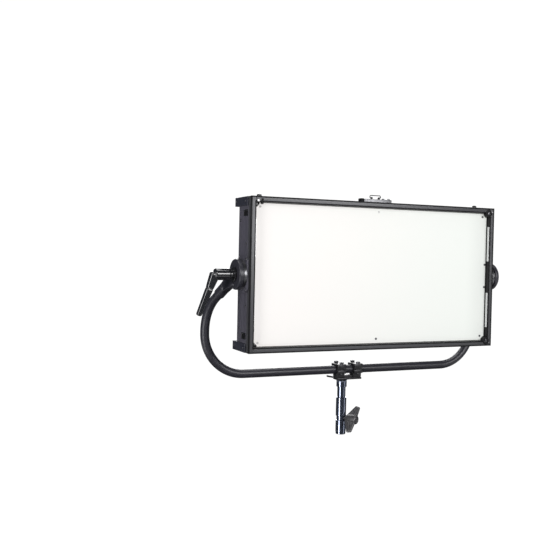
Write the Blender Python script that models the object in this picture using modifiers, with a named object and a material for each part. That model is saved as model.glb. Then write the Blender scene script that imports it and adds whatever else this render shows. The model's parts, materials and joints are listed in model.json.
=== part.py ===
"""LED panel light for a studio: a wide, shallow lamp head that tilts in a bent-tube yoke.

The yoke's cross tube is held in two saddle clamps on a small plate, and under the plate
hangs a 28 mm spigot with a 16 mm socket and a wing screw, which goes on a stand.
The origin is the centre of the spigot's lower end, +Z is up, and the lamp shines to -Y.
All lengths are in metres.
"""
import math

import bmesh
import bpy
from mathutils import Matrix, Vector

# ---------------------------------------------------------------- driving dimensions
GAP = 0.0003                 # air left between pieces that touch

# Lamp head, measured from the tilt axis
LAMP_WIDTH = 0.700
LAMP_HEIGHT = 0.367
FRONT_REACH = 0.038          # tilt axis to the rim's front face
SIDE_REACH = 0.038           # tilt axis to the side plates' rear edge
PROFILE_REACH = 0.061        # tilt axis to the rear of the top and bottom profiles
RIM_WIDTH = 0.013            # face of the front rim
RIM_DEPTH = 0.013            # rim's front face to the back of its flange
RIM_LIP = 0.004              # outer wall of the rim, beside the panel's edge
PANEL_THICKNESS = 0.0034
PROFILE_HEIGHT = 0.0215
PROFILE_WALL = 0.0025
SIDE_PLATE = 0.0025
END_CAP = 0.0025
END_CAP_PROUD = 0.0022       # end caps stand out past the side plates
CHAMBER_WALL = 0.0012
CHAMBER_DEPTH = 0.040
CHAMBER_MARGIN = 0.004       # chamber to side plates and profiles
PEG_HOLE_RADIUS = 0.0050
PEG_HOLE_Y = -0.006
PEG_HOLE_FROM_END = 0.018    # hole centre to the side plate's end
CORNER_LEG = 0.0115
CORNER_SHOULDER = 0.45       # share of the leg where the corner is cut off
CORNER_THICKNESS = 0.0030
STRIP_LENGTH = 0.092
STRIP_FROM_CENTRE = 0.042
STRIP_WIDTH = 0.007
STRIP_THICKNESS = 0.0012

# LED boards, heat sink and electronics
BOARD_COUNT = 3
BOARD_HEIGHT = 0.022
BOARD_THICKNESS = 0.0016
BOARD_END_MARGIN = 0.020
LED_COUNT = 12
LED_SIZE = 0.005
LED_HEIGHT = 0.0014
SINK_BASE = 0.0035
SINK_FIN = 0.0018
SINK_FIN_HEIGHT = 0.027
SINK_FIN_COUNT = 25
SINK_SIDE_MARGIN = 0.012
SINK_END_MARGIN = 0.006
CASE_WIDTH = 0.250
CASE_HEIGHT = 0.110
CASE_DEPTH = 0.030
CASE_WALL = 0.0020
KNOB_RADIUS = 0.0095
KNOB_LENGTH = 0.014
KNOB_X = -0.085
SHAFT_RADIUS = 0.0030
SWITCH_X = -0.040
SWITCH_WIDTH = 0.0130
SWITCH_HEIGHT = 0.0190
SWITCH_TRAVEL = math.radians(8)
SOCKET_RADIUS = 0.0120
SOCKET_BORE = 0.0080
SOCKET_DEPTH = 0.009
SOCKET_FLANGE = 0.0030
SOCKET_XS = (0.006, 0.048, 0.090)
CONTROL_Z = -0.020

# Latch bar on the top profile
LATCH_LENGTH = 0.0905
LATCH_X = 0.0032             # middle of the bar, right of the lamp's middle
LATCH_BLOCK = 0.0100
LATCH_HEIGHT = 0.0095
LATCH_DEPTH = 0.014
LATCH_Y = -0.007
RING_WIDTH = 0.031
RING_HEIGHT = 0.0068
RING_WIRE = 0.0011
RING_CORNER = 0.0030
RING_X = 0.0035
RING_FOOT = 0.0075           # ring's middle to each foot's end
LUG_INNER = 0.0092           # ring's middle to each lug
LUG_WIDTH = 0.0030
LUG_HALF_DEPTH = 0.0030
LUG_RISE = 0.0030            # bar's top to the ring's axis

# Tilt joint, stacked outward from the side plate
PIVOT_PLATE = 0.0035
PIVOT_PLATE_Y = 0.031
PIVOT_PLATE_Z = 0.042
DISC_RADIUS = 0.0335
DISC_THICKNESS = 0.0078
HUB_RADIUS = 0.0365
HUB_THICKNESS = 0.012
BOLT_RADIUS = 0.0050
BOLT_HEAD = 0.0045
BOLT_TIP = 0.010             # bolt past the yoke's hub
NUT_RADIUS = 0.0125
NUT_HEIGHT = 0.0080
NUT_CROWN = 0.0020           # closed end of the nut
NUT_EDGE = 0.0015
BOLT_SHORT_TIP = 0.0055      # bolt past the hub where it carries the nut

# Clamping levers
INSERT_FLANGE_RADIUS = 0.0115
INSERT_FLANGE = 0.0055
INSERT_RADIUS = 0.0080
INSERT_LENGTH = 0.012        # shank inside the lever
LEVER_HUB_RADIUS = 0.0140
LEVER_HUB_LENGTH = 0.043
LEVER_LIFT = 0.004
LEVER_REACH = 0.096          # hub axis to the handle's tip, downward
LEVER_FLARE = 0.038          # handle's tip past its root, outward
LEVER_INSET = 0.0015         # handle's root short of the hub's outer end
LEVER_RISE = 0.003           # handle's root above the hub's axis
LEVER_ROOT = (0.022, 0.0195)
LEVER_TIP = (0.0155, 0.0115)

# Yoke
TUBE_RADIUS = 0.0113
TUBE_WALL = 0.0020
YOKE_SPREAD = 0.030          # tube's centre past the hub's outer face
YOKE_SETBACK = 0.119         # tilt axis to the plane of the tube, rearward
YOKE_DROP = 0.255            # tilt axis down to the cross tube
KINK_DROP = 0.092            # tilt axis down to where the arm turns vertical
KINK_RADIUS = 0.105
BEND_RADIUS = 0.105
SOCKET_WALL = 0.0022
ARM_ROOT = (0.040, 0.0118)
ARM_END = (0.0225, 0.0215)
ARM_EDGE = 0.0050
ARM_ROOT_SHARE = 0.13        # share of the arm where it leaves the hub
ARM_SOCKET_START = 0.34      # share of the arm where the tube's socket begins
ARM_SOCKET_END = 0.55        # share of the arm where the socket ends
TUBE_START = 0.42            # share of the arm where the tube's end sits

# Spigot bracket
PLATE_WIDTH = 0.075
PLATE_FRONT = 0.014          # cross tube to the plate's front edge
PLATE_REAR = 0.015           # spigot axis to the plate's rear edge
PLATE_BAR_REAR = -0.020      # rear edge of the plate's bar under the clamps
PLATE_NECK_X = 0.010         # right side of the plate over the spigot
PLATE_EAR_X = -0.026         # where the plate's left ear leaves the bar
PLATE_EAR_REACH = 0.0015     # ear's tip past the bar's end
PLATE_THICKNESS = 0.005
TUBE_RISE = 0.0215           # plate's top to the cross tube's centre
TUBE_TO_SPIGOT = 0.028       # cross tube's plane to the spigot axis
CLAMP_WIDTH = 0.025
CLAMP_X = 0.0250
CLAMP_REACH = 0.0187         # half of the clamp's depth
CLAMP_ROOF = 0.0045          # metal over the tube
CLAMP_SPLIT = 0.0010
FLANGE_DEPTH = 0.0098        # tube's centre down to the underside of the flanges
STEM_FRONT = -0.0110         # clamp's stem under the flanges, from the tube's centre
STEM_REAR = 0.0080
CLAMP_BASE_EDGE = 0.0006
CLAMP_CAP_EDGE = 0.0006
SCREW_RADIUS = 0.0025
SCREW_OFFSET = 0.0153        # clamp screws beside the tube's centre
SCREW_HEAD_RADIUS = 0.0046
SCREW_HEAD = 0.0045
SCREW_END = 0.0025           # screw's end past the flange
SCREW_CLEARANCE = 0.0003

# Spigot
SPIGOT_LENGTH = 0.154
SPIGOT_RADIUS = 0.0140
NECK_RADIUS = 0.0112
GROOVE_RADIUS = 0.0126
FLARE_RADIUS = 0.0200
FLARE_RIM = 0.0030
FLARE_HEIGHT = 0.0080
COLLAR_HEIGHT = 0.0140
NECK_HEIGHT = 0.029
BODY_HEIGHT = 0.0505
GROOVE_HEIGHT = 0.0115
FOOT_RING = 0.006
FOOT_RING_INSET = 0.0006
SPIGOT_BORE = 0.0081
SPIGOT_BORE_DEPTH = 0.070
BORE_CONE = 0.004

# Wing screw
WING_HEIGHT = 0.0440         # spigot's lower end to the wing screw's axis
WING_BEARING = math.radians(-58)
WING_SCREW_RADIUS = 0.0040
WING_TIP = 0.0010            # screw's tip outside the bore
WING_STANDOFF = 0.0030       # knob's foot to the spigot
WING_CORE_RADIUS = 0.0125
WING_CORE_LENGTH = 0.034
WING_SPAN = 0.040
WING_ROOT = (0.026, 0.0110)
WING_END = (0.0120, 0.0070)
WING_SWEEP = 0.008           # wing tips lean out past the wings' root
WING_ROLL = math.radians(-38)

# Positions that follow from the sizes above
HALF_W = LAMP_WIDTH / 2
HALF_H = LAMP_HEIGHT / 2
TUBE_Y = -TUBE_TO_SPIGOT
PLATE_TOP = SPIGOT_LENGTH + GAP + PLATE_THICKNESS
TUBE_Z = PLATE_TOP + TUBE_RISE
PIVOT = Vector((0.0, TUBE_Y - YOKE_SETBACK, TUBE_Z + YOKE_DROP))
PLATE_X = HALF_W + GAP                                    # pivot plate's inner face
DISC_X = PLATE_X + PIVOT_PLATE + GAP
HUB_X = DISC_X + DISC_THICKNESS + GAP
HUB_OUTER_X = HUB_X + HUB_THICKNESS
TUBE_X = HUB_OUTER_X + YOKE_SPREAD
PANEL_FRONT = -FRONT_REACH + RIM_DEPTH + GAP
PANEL_REAR = PANEL_FRONT + PANEL_THICKNESS
PROFILE_FRONT = PANEL_REAR + GAP
PROFILE_INNER_Z = HALF_H - PROFILE_HEIGHT
RIM_INNER_X = HALF_W - RIM_WIDTH
RIM_INNER_Z = HALF_H - RIM_WIDTH
CHAMBER_REAR = PROFILE_FRONT + CHAMBER_DEPTH
SINK_FRONT = CHAMBER_REAR + GAP
CASE_FRONT = SINK_FRONT + SINK_BASE + SINK_FIN_HEIGHT + GAP
CASE_REAR = CASE_FRONT + CASE_DEPTH
WING_AXIS = Vector((math.cos(WING_BEARING), math.sin(WING_BEARING), 0.0))

SEGMENTS = 32
SMALL_SEGMENTS = 20


# ---------------------------------------------------------------- scene and materials
for old_object in list(bpy.data.objects):
    bpy.data.objects.remove(old_object, do_unlink=True)

PARTS = bpy.data.collections.new("led_panel_light")
CUTTERS = bpy.data.collections.new("cutters")
for collection in (PARTS, CUTTERS):
    bpy.context.scene.collection.children.link(collection)


def material(name, colour, roughness, metallic):
    """A Principled material with one colour."""
    made = bpy.data.materials.new(name)
    made.use_nodes = True
    shader = made.node_tree.nodes["Principled BSDF"]
    shader.inputs["Base Color"].default_value = (*colour, 1.0)
    shader.inputs["Roughness"].default_value = roughness
    shader.inputs["Metallic"].default_value = metallic
    made.diffuse_color = (*colour, 1.0)
    return made


def emitter(name, colour, strength):
    """The lit panel's material."""
    made = material(name, colour, 0.6, 0.0)
    shader = made.node_tree.nodes["Principled BSDF"]
    shader.inputs["Emission Color"].default_value = (*colour, 1.0)
    shader.inputs["Emission Strength"].default_value = strength
    return made


HOUSING = material("housing_paint", (0.062, 0.060, 0.074), 0.45, 0.6)
RIM = material("rim_paint", (0.135, 0.135, 0.140), 0.42, 0.6)
TUBE_PAINT = material("tube_paint", (0.045, 0.042, 0.055), 0.35, 0.5)
BLACK = material("black_plastic", (0.012, 0.012, 0.013), 0.42, 0.0)
RUBBER = material("switch_rubber", (0.020, 0.020, 0.020), 0.75, 0.0)
PANEL = emitter("phosphor_panel", (0.84, 0.85, 0.80), 0.35)
WHITE = material("white_reflector", (0.85, 0.85, 0.84), 0.55, 0.0)
BOARD = material("circuit_board", (0.80, 0.81, 0.78), 0.45, 0.0)
ALUMINIUM = material("bright_aluminium", (0.62, 0.62, 0.63), 0.30, 1.0)
SINK = material("black_anodised", (0.030, 0.030, 0.034), 0.48, 0.8)
STEEL = material("zinc_steel", (0.45, 0.45, 0.46), 0.35, 1.0)
CHROME = material("chrome", (0.62, 0.64, 0.68), 0.08, 1.0)
DIECAST = material("die_cast", (0.095, 0.092, 0.092), 0.45, 0.8)


# ---------------------------------------------------------------- modelling helpers
def empty(name, location):
    """A parent for a group of pieces."""
    made = bpy.data.objects.new(name, None)
    made.location = location
    PARTS.objects.link(made)
    return made


def place(name, mesh, finish, location=(0, 0, 0), rotation=(0, 0, 0), parent=None):
    """Put a mesh in the scene under a name."""
    made = bpy.data.objects.new(name, mesh)
    made.location = location
    made.rotation_euler = rotation
    made.parent = parent
    if finish is not None:
        mesh.materials.clear()
        mesh.materials.append(finish)
    PARTS.objects.link(made)
    return made


def bevel(piece, width, segments=2, angle=40):
    """Round a piece's sharp edges."""
    rounding = piece.modifiers.new("bevel", "BEVEL")
    rounding.width = width
    rounding.segments = segments
    rounding.limit_method = "ANGLE"
    rounding.angle_limit = math.radians(angle)
    return piece


def smooth(piece, angle=35):
    """Shade a round piece smooth, with its corners kept sharp."""
    piece.data.shade_smooth()
    piece.data.set_sharp_from_angle(angle=math.radians(angle))
    return piece


def box_mesh(name, low, high):
    """An axis-aligned block between two corners."""
    low, high = Vector(low), Vector(high)
    mesh = bpy.data.meshes.new(name)
    bm = bmesh.new()
    bmesh.ops.create_cube(bm, size=1.0)
    bmesh.ops.scale(bm, vec=high - low, verts=bm.verts)
    bmesh.ops.translate(bm, vec=(low + high) / 2, verts=bm.verts)
    bm.to_mesh(mesh)
    bm.free()
    return mesh


def bar_mesh(name, start, end, start_size, end_size, side):
    """A straight tapered bar; each size is (across side, along side) at that end."""
    start, end = Vector(start), Vector(end)
    along = (end - start).normalized()
    across = along.cross(Vector(side)).normalized()
    flat = across.cross(along).normalized()
    mesh = bpy.data.meshes.new(name)
    bm = bmesh.new()
    bmesh.ops.create_cube(bm, size=1.0)
    for vert in bm.verts:
        centre, size = (start, start_size) if vert.co.z < 0 else (end, end_size)
        vert.co = centre + across * (vert.co.x * size[0]) + flat * (vert.co.y * size[1])
    bmesh.ops.recalc_face_normals(bm, faces=bm.faces)
    bm.to_mesh(mesh)
    bm.free()
    return mesh


def cylinder_mesh(name, radius, start, end, segments=SEGMENTS, end_radius=None):
    """A cylinder, or a cone, between two points on its axis."""
    start, end = Vector(start), Vector(end)
    turn = Vector((0, 0, 1)).rotation_difference(end - start).to_matrix().to_4x4()
    mesh = bpy.data.meshes.new(name)
    bm = bmesh.new()
    bmesh.ops.create_cone(
        bm, cap_ends=True, segments=segments, depth=(end - start).length,
        radius1=radius, radius2=radius if end_radius is None else end_radius,
        matrix=Matrix.Translation((start + end) / 2) @ turn)
    bm.to_mesh(mesh)
    bm.free()
    return mesh


def curve_to_mesh(curve_object, finish):
    """Replace a curve object by its welded mesh."""
    depsgraph = bpy.context.evaluated_depsgraph_get()
    mesh = bpy.data.meshes.new_from_object(curve_object.evaluated_get(depsgraph))
    bm = bmesh.new()
    bm.from_mesh(mesh)
    bmesh.ops.remove_doubles(bm, verts=bm.verts, dist=0.00001)
    bmesh.ops.recalc_face_normals(bm, faces=bm.faces)
    bm.to_mesh(mesh)
    bm.free()
    name, parent = curve_object.name, curve_object.parent
    location, rotation = curve_object.location.copy(), curve_object.rotation_euler.copy()
    curve = curve_object.data
    bpy.data.objects.remove(curve_object)
    bpy.data.curves.remove(curve)
    return place(name, mesh, finish, location, rotation, parent)


def extrusion(name, loops, low, high, finish, axis="Z", parent=None):
    """A flat outline pushed out from low to high along X or Z; later loops are holes."""
    curve = bpy.data.curves.new(name, "CURVE")
    curve.dimensions = "2D"
    curve.fill_mode = "BOTH"
    curve.extrude = (high - low) / 2
    for loop in loops:
        spline = curve.splines.new("POLY")
        spline.points.add(len(loop) - 1)
        for point, (u, v) in zip(spline.points, loop):
            point.co = (u, v, 0.0, 1.0)
        spline.use_cyclic_u = True
    middle = (low + high) / 2
    made = bpy.data.objects.new(name, curve)
    made.location = (middle, 0, 0) if axis == "X" else (0, 0, middle)
    made.rotation_euler = (math.pi / 2, 0, math.pi / 2) if axis == "X" else (0, 0, 0)
    made.parent = parent
    PARTS.objects.link(made)
    return curve_to_mesh(made, finish)


def turned(name, profile, finish, location=(0, 0, 0), rotation=(0, 0, 0), parent=None):
    """A solid of revolution about its Z; the profile of (radius, height) runs downward."""
    mesh = bpy.data.meshes.new(name)
    points = [(radius, 0.0, height) for radius, height in profile]
    mesh.from_pydata(points, [(i, i + 1) for i in range(len(points) - 1)], [])
    made = place(name, mesh, finish, location, rotation, parent)
    screw = made.modifiers.new("turn", "SCREW")
    screw.axis = "Z"
    screw.angle = 2 * math.pi
    screw.steps = screw.render_steps = SEGMENTS
    screw.use_merge_vertices = True
    screw.merge_threshold = 0.00001
    screw.use_smooth_shade = True
    return made


def cutter(name, mesh, parent=None):
    """A guide for a Boolean, kept out of the object."""
    made = bpy.data.objects.new(name, mesh)
    made.display_type = "WIRE"
    made.hide_render = True
    made.hide_viewport = False
    made.parent = parent
    CUTTERS.objects.link(made)
    return made


def boolean(piece, tool, operation="DIFFERENCE"):
    """Cut or join one piece with a tool object."""
    step = piece.modifiers.new(tool.name, "BOOLEAN")
    step.operation = operation
    step.solver = "EXACT"
    step.object = tool
    return piece


def cut(piece, mesh):
    """Cut a mesh, given in the piece's parent's frame, out of the piece."""
    return boolean(piece, cutter("cut_" + mesh.name, mesh, piece.parent))


def join(piece, mesh):
    """Join a mesh, given in the piece's parent's frame, to the piece."""
    return boolean(piece, cutter("join_" + mesh.name, mesh, piece.parent), "UNION")


def circle(radius, centre=(0.0, 0.0), count=SMALL_SEGMENTS):
    """Points of a round outline."""
    angles = [2 * math.pi * i / count for i in range(count)]
    return [(centre[0] + radius * math.cos(a), centre[1] + radius * math.sin(a)) for a in angles]


def rectangle(low, high):
    """Points of a rectangular outline."""
    return [(low[0], low[1]), (high[0], low[1]), (high[0], high[1]), (low[0], high[1])]


def rounded_path(corners, radii, step):
    """Points along straight runs whose inner corners are arcs of the given radii."""
    path = [Vector(corners[0])]
    for before, corner, after, radius in zip(corners, corners[1:], corners[2:], radii):
        towards = (Vector(before) - Vector(corner)).normalized()
        away = (Vector(after) - Vector(corner)).normalized()
        turn = math.pi - towards.angle(away)
        trim = radius * math.tan(turn / 2)
        centre = Vector(corner) + (towards + away).normalized() * radius / math.cos(turn / 2)
        first = Vector(corner) + towards * trim - centre
        axis = first.cross(Vector(corner) + away * trim - centre).normalized()
        count = max(3, round(turn / step))
        for i in range(count + 1):
            path.append(centre + Matrix.Rotation(turn * i / count, 3, axis) @ first)
    path.append(Vector(corners[-1]))
    return path


# ---------------------------------------------------------------- spigot and its bracket
def make_spigot():
    """The stand spigot, turned, with its socket open below and a hole for the wing screw."""
    flare_top = SPIGOT_LENGTH - FLARE_RIM
    collar_top = flare_top - FLARE_HEIGHT
    neck_top = collar_top - COLLAR_HEIGHT
    body_top = neck_top - NECK_HEIGHT
    groove_top = body_top - BODY_HEIGHT
    groove_foot = groove_top - GROOVE_HEIGHT
    profile = [
        (0.0, SPIGOT_LENGTH), (FLARE_RADIUS, SPIGOT_LENGTH), (FLARE_RADIUS, flare_top),
        (SPIGOT_RADIUS, collar_top),
        (SPIGOT_RADIUS, neck_top), (NECK_RADIUS, neck_top), (NECK_RADIUS, body_top),
        (SPIGOT_RADIUS, body_top), (SPIGOT_RADIUS, groove_top), (GROOVE_RADIUS, groove_top),
        (GROOVE_RADIUS, groove_foot), (SPIGOT_RADIUS, groove_foot), (SPIGOT_RADIUS, FOOT_RING),
        (SPIGOT_RADIUS - FOOT_RING_INSET, FOOT_RING), (SPIGOT_RADIUS - FOOT_RING_INSET, 0.0),
        (SPIGOT_BORE, 0.0), (SPIGOT_BORE, SPIGOT_BORE_DEPTH), (0.0, SPIGOT_BORE_DEPTH + BORE_CONE)]
    spigot = turned("spigot", profile, CHROME)
    axis_point = Vector((0, 0, WING_HEIGHT))
    hole = cylinder_mesh("wing_hole", WING_SCREW_RADIUS + GAP, axis_point + WING_AXIS * 0.002,
                         axis_point + WING_AXIS * 2 * SPIGOT_RADIUS, SMALL_SEGMENTS)
    return cut(spigot, hole)


def make_base_plate():
    """The plate that joins the spigot to the clamps: a bar, a neck and an ear at the left."""
    x, front, ear = PLATE_WIDTH / 2, TUBE_Y - PLATE_FRONT, PLATE_WIDTH / 2 + PLATE_EAR_REACH
    outline = [(-x, front), (x, front), (x, PLATE_BAR_REAR), (PLATE_NECK_X, PLATE_BAR_REAR),
               (PLATE_NECK_X, PLATE_REAR), (-ear, PLATE_REAR), (PLATE_EAR_X, PLATE_BAR_REAR),
               (-x, PLATE_BAR_REAR)]
    return extrusion("base_plate", [outline], SPIGOT_LENGTH + GAP, PLATE_TOP, DIECAST)


def clamp_holes(piece, x, low_z, high_z):
    """Cut the two screw holes of a clamp half."""
    for side in (-1, 1):
        y = TUBE_Y + side * SCREW_OFFSET
        cut(piece, cylinder_mesh(f"{piece.name}_hole{side}", SCREW_RADIUS + SCREW_CLEARANCE,
                                 (x, y, low_z), (x, y, high_z), SMALL_SEGMENTS))
    return piece


def cradle(sign):
    """The tube's half-round seat as (y, z) points, front to rear, under or over the tube."""
    count, radius = SMALL_SEGMENTS // 2, TUBE_RADIUS + GAP
    start = math.asin(CLAMP_SPLIT / 2 / radius)
    angles = [start + (math.pi - 2 * start) * i / count for i in range(count + 1)]
    return [(TUBE_Y - radius * math.cos(a), TUBE_Z + sign * radius * math.sin(a)) for a in angles]


def make_clamps():
    """Two saddle clamps on the plate, each a base, a cap and two screws."""
    roof = TUBE_Z + TUBE_RADIUS + CLAMP_ROOF
    underside = TUBE_Z - FLANGE_DEPTH
    foot, split = PLATE_TOP + GAP, CLAMP_SPLIT / 2
    front, rear = TUBE_Y - CLAMP_REACH, TUBE_Y + CLAMP_REACH
    stem_front, stem_rear = TUBE_Y + STEM_FRONT, TUBE_Y + STEM_REAR
    base = [(front, TUBE_Z - split), (front, underside), (stem_front, underside),
            (stem_front, foot), (stem_rear, foot), (stem_rear, underside), (rear, underside),
            (rear, TUBE_Z - split)] + cradle(-1)[::-1]
    cap = [(front, roof), (front, TUBE_Z + split)] + cradle(1) + [
        (rear, TUBE_Z + split), (rear, roof)]
    screw_end = underside - SCREW_END
    for label, sx in (("left", -1), ("right", 1)):
        x = sx * CLAMP_X
        low, high = x - CLAMP_WIDTH / 2, x + CLAMP_WIDTH / 2
        for name, outline, edge in ((f"clamp_base_{label}", base, CLAMP_BASE_EDGE),
                                    (f"clamp_cap_{label}", cap, CLAMP_CAP_EDGE)):
            piece = extrusion(name, [outline], low, high, DIECAST, "X")
            bevel(piece, edge, 2, 60)
            clamp_holes(piece, x, underside - SCREW_END, roof + SCREW_HEAD)
        for end, sy in (("front", -1), ("rear", 1)):
            y = TUBE_Y + sy * SCREW_OFFSET
            profile = [(0.0, roof + GAP + SCREW_HEAD), (SCREW_HEAD_RADIUS, roof + GAP + SCREW_HEAD),
                       (SCREW_HEAD_RADIUS, roof + GAP), (SCREW_RADIUS, roof + GAP),
                       (SCREW_RADIUS, screw_end), (0.0, screw_end)]
            turned(f"clamp_screw_{label}_{end}", profile, STEEL, (x, y, 0))


def make_wing_screw():
    """The wing screw that locks the spigot on a stand, turned about WING_AXIS."""
    hub = empty("wing_axis", (0, 0, WING_HEIGHT))
    hub.rotation_euler = (0, math.pi / 2, WING_BEARING)
    foot = SPIGOT_RADIUS + WING_STANDOFF
    crown = foot + WING_CORE_LENGTH
    tip = SPIGOT_BORE + WING_TIP
    profile = [(0.0, crown), (WING_CORE_RADIUS * 0.8, crown), (WING_CORE_RADIUS, crown - 0.002),
               (WING_CORE_RADIUS, foot), (WING_SCREW_RADIUS, foot), (WING_SCREW_RADIUS, tip),
               (0.0, tip)]
    wing = turned("wing_screw", profile, DIECAST, parent=hub)
    roll = Matrix.Rotation(WING_ROLL, 3, "Z")
    root_height = foot + WING_ROOT[0] / 2 + 0.001
    for label, side in (("a", -1), ("b", 1)):
        out = roll @ Vector((side, 0, 0))
        start = out * (WING_CORE_RADIUS * 0.3) + Vector((0, 0, root_height))
        end = out * WING_SPAN + Vector((0, 0, root_height + WING_SWEEP))
        flat = roll @ Vector((0, 1, 0))
        mesh = bar_mesh("wing_" + label, start, end, WING_ROOT, WING_END, flat)
        bevel(join(wing, mesh).modifiers[-1].object, 0.0024, 2)
    return wing


# ---------------------------------------------------------------- yoke
def arm_point(side, share):
    """A point on the straight arm, from the tilt axis (0) to the kink (1)."""
    root = PIVOT + Vector((side * (HUB_X + HUB_THICKNESS / 2), 0, 0))
    kink = Vector((side * TUBE_X, TUBE_Y, PIVOT.z - KINK_DROP))
    return root.lerp(kink, share)


def make_yoke_tube():
    """One bent tube from socket to socket: arm, kink, long bend, cross tube, and back."""
    corners = [arm_point(-1, TUBE_START), arm_point(-1, 1), (-TUBE_X, TUBE_Y, TUBE_Z),
               (TUBE_X, TUBE_Y, TUBE_Z), arm_point(1, 1), arm_point(1, TUBE_START)]
    radii = [KINK_RADIUS, BEND_RADIUS, BEND_RADIUS, KINK_RADIUS]
    path = rounded_path(corners, radii, math.radians(9))
    curve = bpy.data.curves.new("yoke_tube", "CURVE")
    curve.dimensions = "3D"
    curve.bevel_depth = TUBE_RADIUS
    curve.bevel_resolution = 3
    spline = curve.splines.new("POLY")
    spline.points.add(len(path) - 1)
    for point, place_at in zip(spline.points, path):
        point.co = (*place_at, 1.0)
    made = bpy.data.objects.new("yoke_tube", curve)
    PARTS.objects.link(made)
    tube = smooth(curve_to_mesh(made, TUBE_PAINT), 50)
    wall = tube.modifiers.new("wall", "SOLIDIFY")
    wall.thickness = TUBE_WALL
    wall.offset = -1.0
    return tube


def make_yoke_end(label, side):
    """A cast end: the friction hub, and an arm whose socket takes the tube."""
    inner, outer = side * HUB_X, side * HUB_OUTER_X
    centre = PIVOT
    mesh = cylinder_mesh(f"yoke_end_{label}", HUB_RADIUS, centre + Vector((inner, 0, 0)),
                         centre + Vector((outer, 0, 0)), 40)
    piece = smooth(bevel(place(f"yoke_end_{label}", mesh, TUBE_PAINT), 0.0015, 2))
    across = Vector((1, 0, 0))
    socket_start = arm_point(side, ARM_SOCKET_START)
    socket_end = arm_point(side, ARM_SOCKET_END)
    width = 2 * (TUBE_RADIUS + GAP + SOCKET_WALL)
    taper = bar_mesh(f"arm_{label}", arm_point(side, ARM_ROOT_SHARE),
                     socket_start.lerp(socket_end, 0.1),
                     ARM_ROOT, ARM_END, across)
    bevel(join(piece, taper).modifiers[-1].object, ARM_EDGE, 3)
    sleeve = cylinder_mesh(f"sleeve_{label}", width / 2, socket_start, socket_end, 24)
    join(piece, sleeve)
    bore_start = arm_point(side, TUBE_START).lerp(socket_start, 0.04)
    bore_end = socket_end + (socket_end - socket_start)
    cut(piece, cylinder_mesh(f"tube_bore_{label}", TUBE_RADIUS + GAP, bore_start, bore_end, 24))
    cut(piece, cylinder_mesh(f"bolt_bore_{label}", BOLT_RADIUS + GAP,
                             centre + Vector((inner - side * 0.01, 0, 0)),
                             centre + Vector((outer + side * 0.03, 0, 0)), SMALL_SEGMENTS))
    return piece


# ---------------------------------------------------------------- clamping levers
def make_lever_insert(label, side):
    """The threaded insert on the pivot bolt, which the lever turns."""
    start = HUB_OUTER_X + GAP
    shoulder = start + INSERT_FLANGE
    end = shoulder + INSERT_LENGTH
    bore_end = HUB_OUTER_X + BOLT_TIP + 2 * GAP
    bore = BOLT_RADIUS + GAP
    profile = [(0.0, end), (INSERT_RADIUS, end), (INSERT_RADIUS, shoulder),
               (INSERT_FLANGE_RADIUS, shoulder), (INSERT_FLANGE_RADIUS, start),
               (bore, start), (bore, bore_end), (0.0, bore_end)]
    turn = (0, side * math.pi / 2, 0)
    return turned(f"lever_insert_{label}", profile, STEEL, PIVOT, turn)


def make_lever(label, side):
    """The lever: a round hub on the insert, and a flared handle hanging down."""
    hub = empty(f"lever_axis_{label}", PIVOT)
    start = side * (HUB_OUTER_X + GAP + INSERT_FLANGE + GAP)
    end = start + side * LEVER_HUB_LENGTH
    mesh = cylinder_mesh(f"lever_{label}", LEVER_HUB_RADIUS, (start, 0, 0), (end, 0, 0))
    piece = smooth(bevel(place(f"lever_{label}", mesh, BLACK, parent=hub), 0.0015, 2))
    root = Vector((end - side * LEVER_INSET, 0, LEVER_RISE))
    tip = Vector((root.x + side * LEVER_FLARE, 0, -LEVER_REACH))
    handle = bar_mesh(f"handle_{label}", root, tip, LEVER_ROOT, LEVER_TIP, (1, 0, 0))
    bevel(join(piece, handle).modifiers[-1].object, 0.0030, 3)
    bore_end = start + side * (INSERT_LENGTH + GAP)
    cut(piece, cylinder_mesh(f"insert_bore_{label}", INSERT_RADIUS + GAP,
                             (start - side * 0.01, 0, 0), (bore_end, 0, 0), 24))
    return piece


def make_pivot_nut(label, side):
    """A low round nut on the pivot bolt, at the end without a lever."""
    start = HUB_OUTER_X + GAP
    end = start + NUT_HEIGHT
    bore, bore_end = BOLT_RADIUS + GAP, end - NUT_CROWN
    profile = [(0.0, end), (NUT_RADIUS - NUT_EDGE, end), (NUT_RADIUS, end - NUT_EDGE),
               (NUT_RADIUS, start), (bore, start), (bore, bore_end), (0.0, bore_end)]
    turn = (0, side * math.pi / 2, 0)
    return turned(f"pivot_nut_{label}", profile, STEEL, PIVOT, turn)


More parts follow.
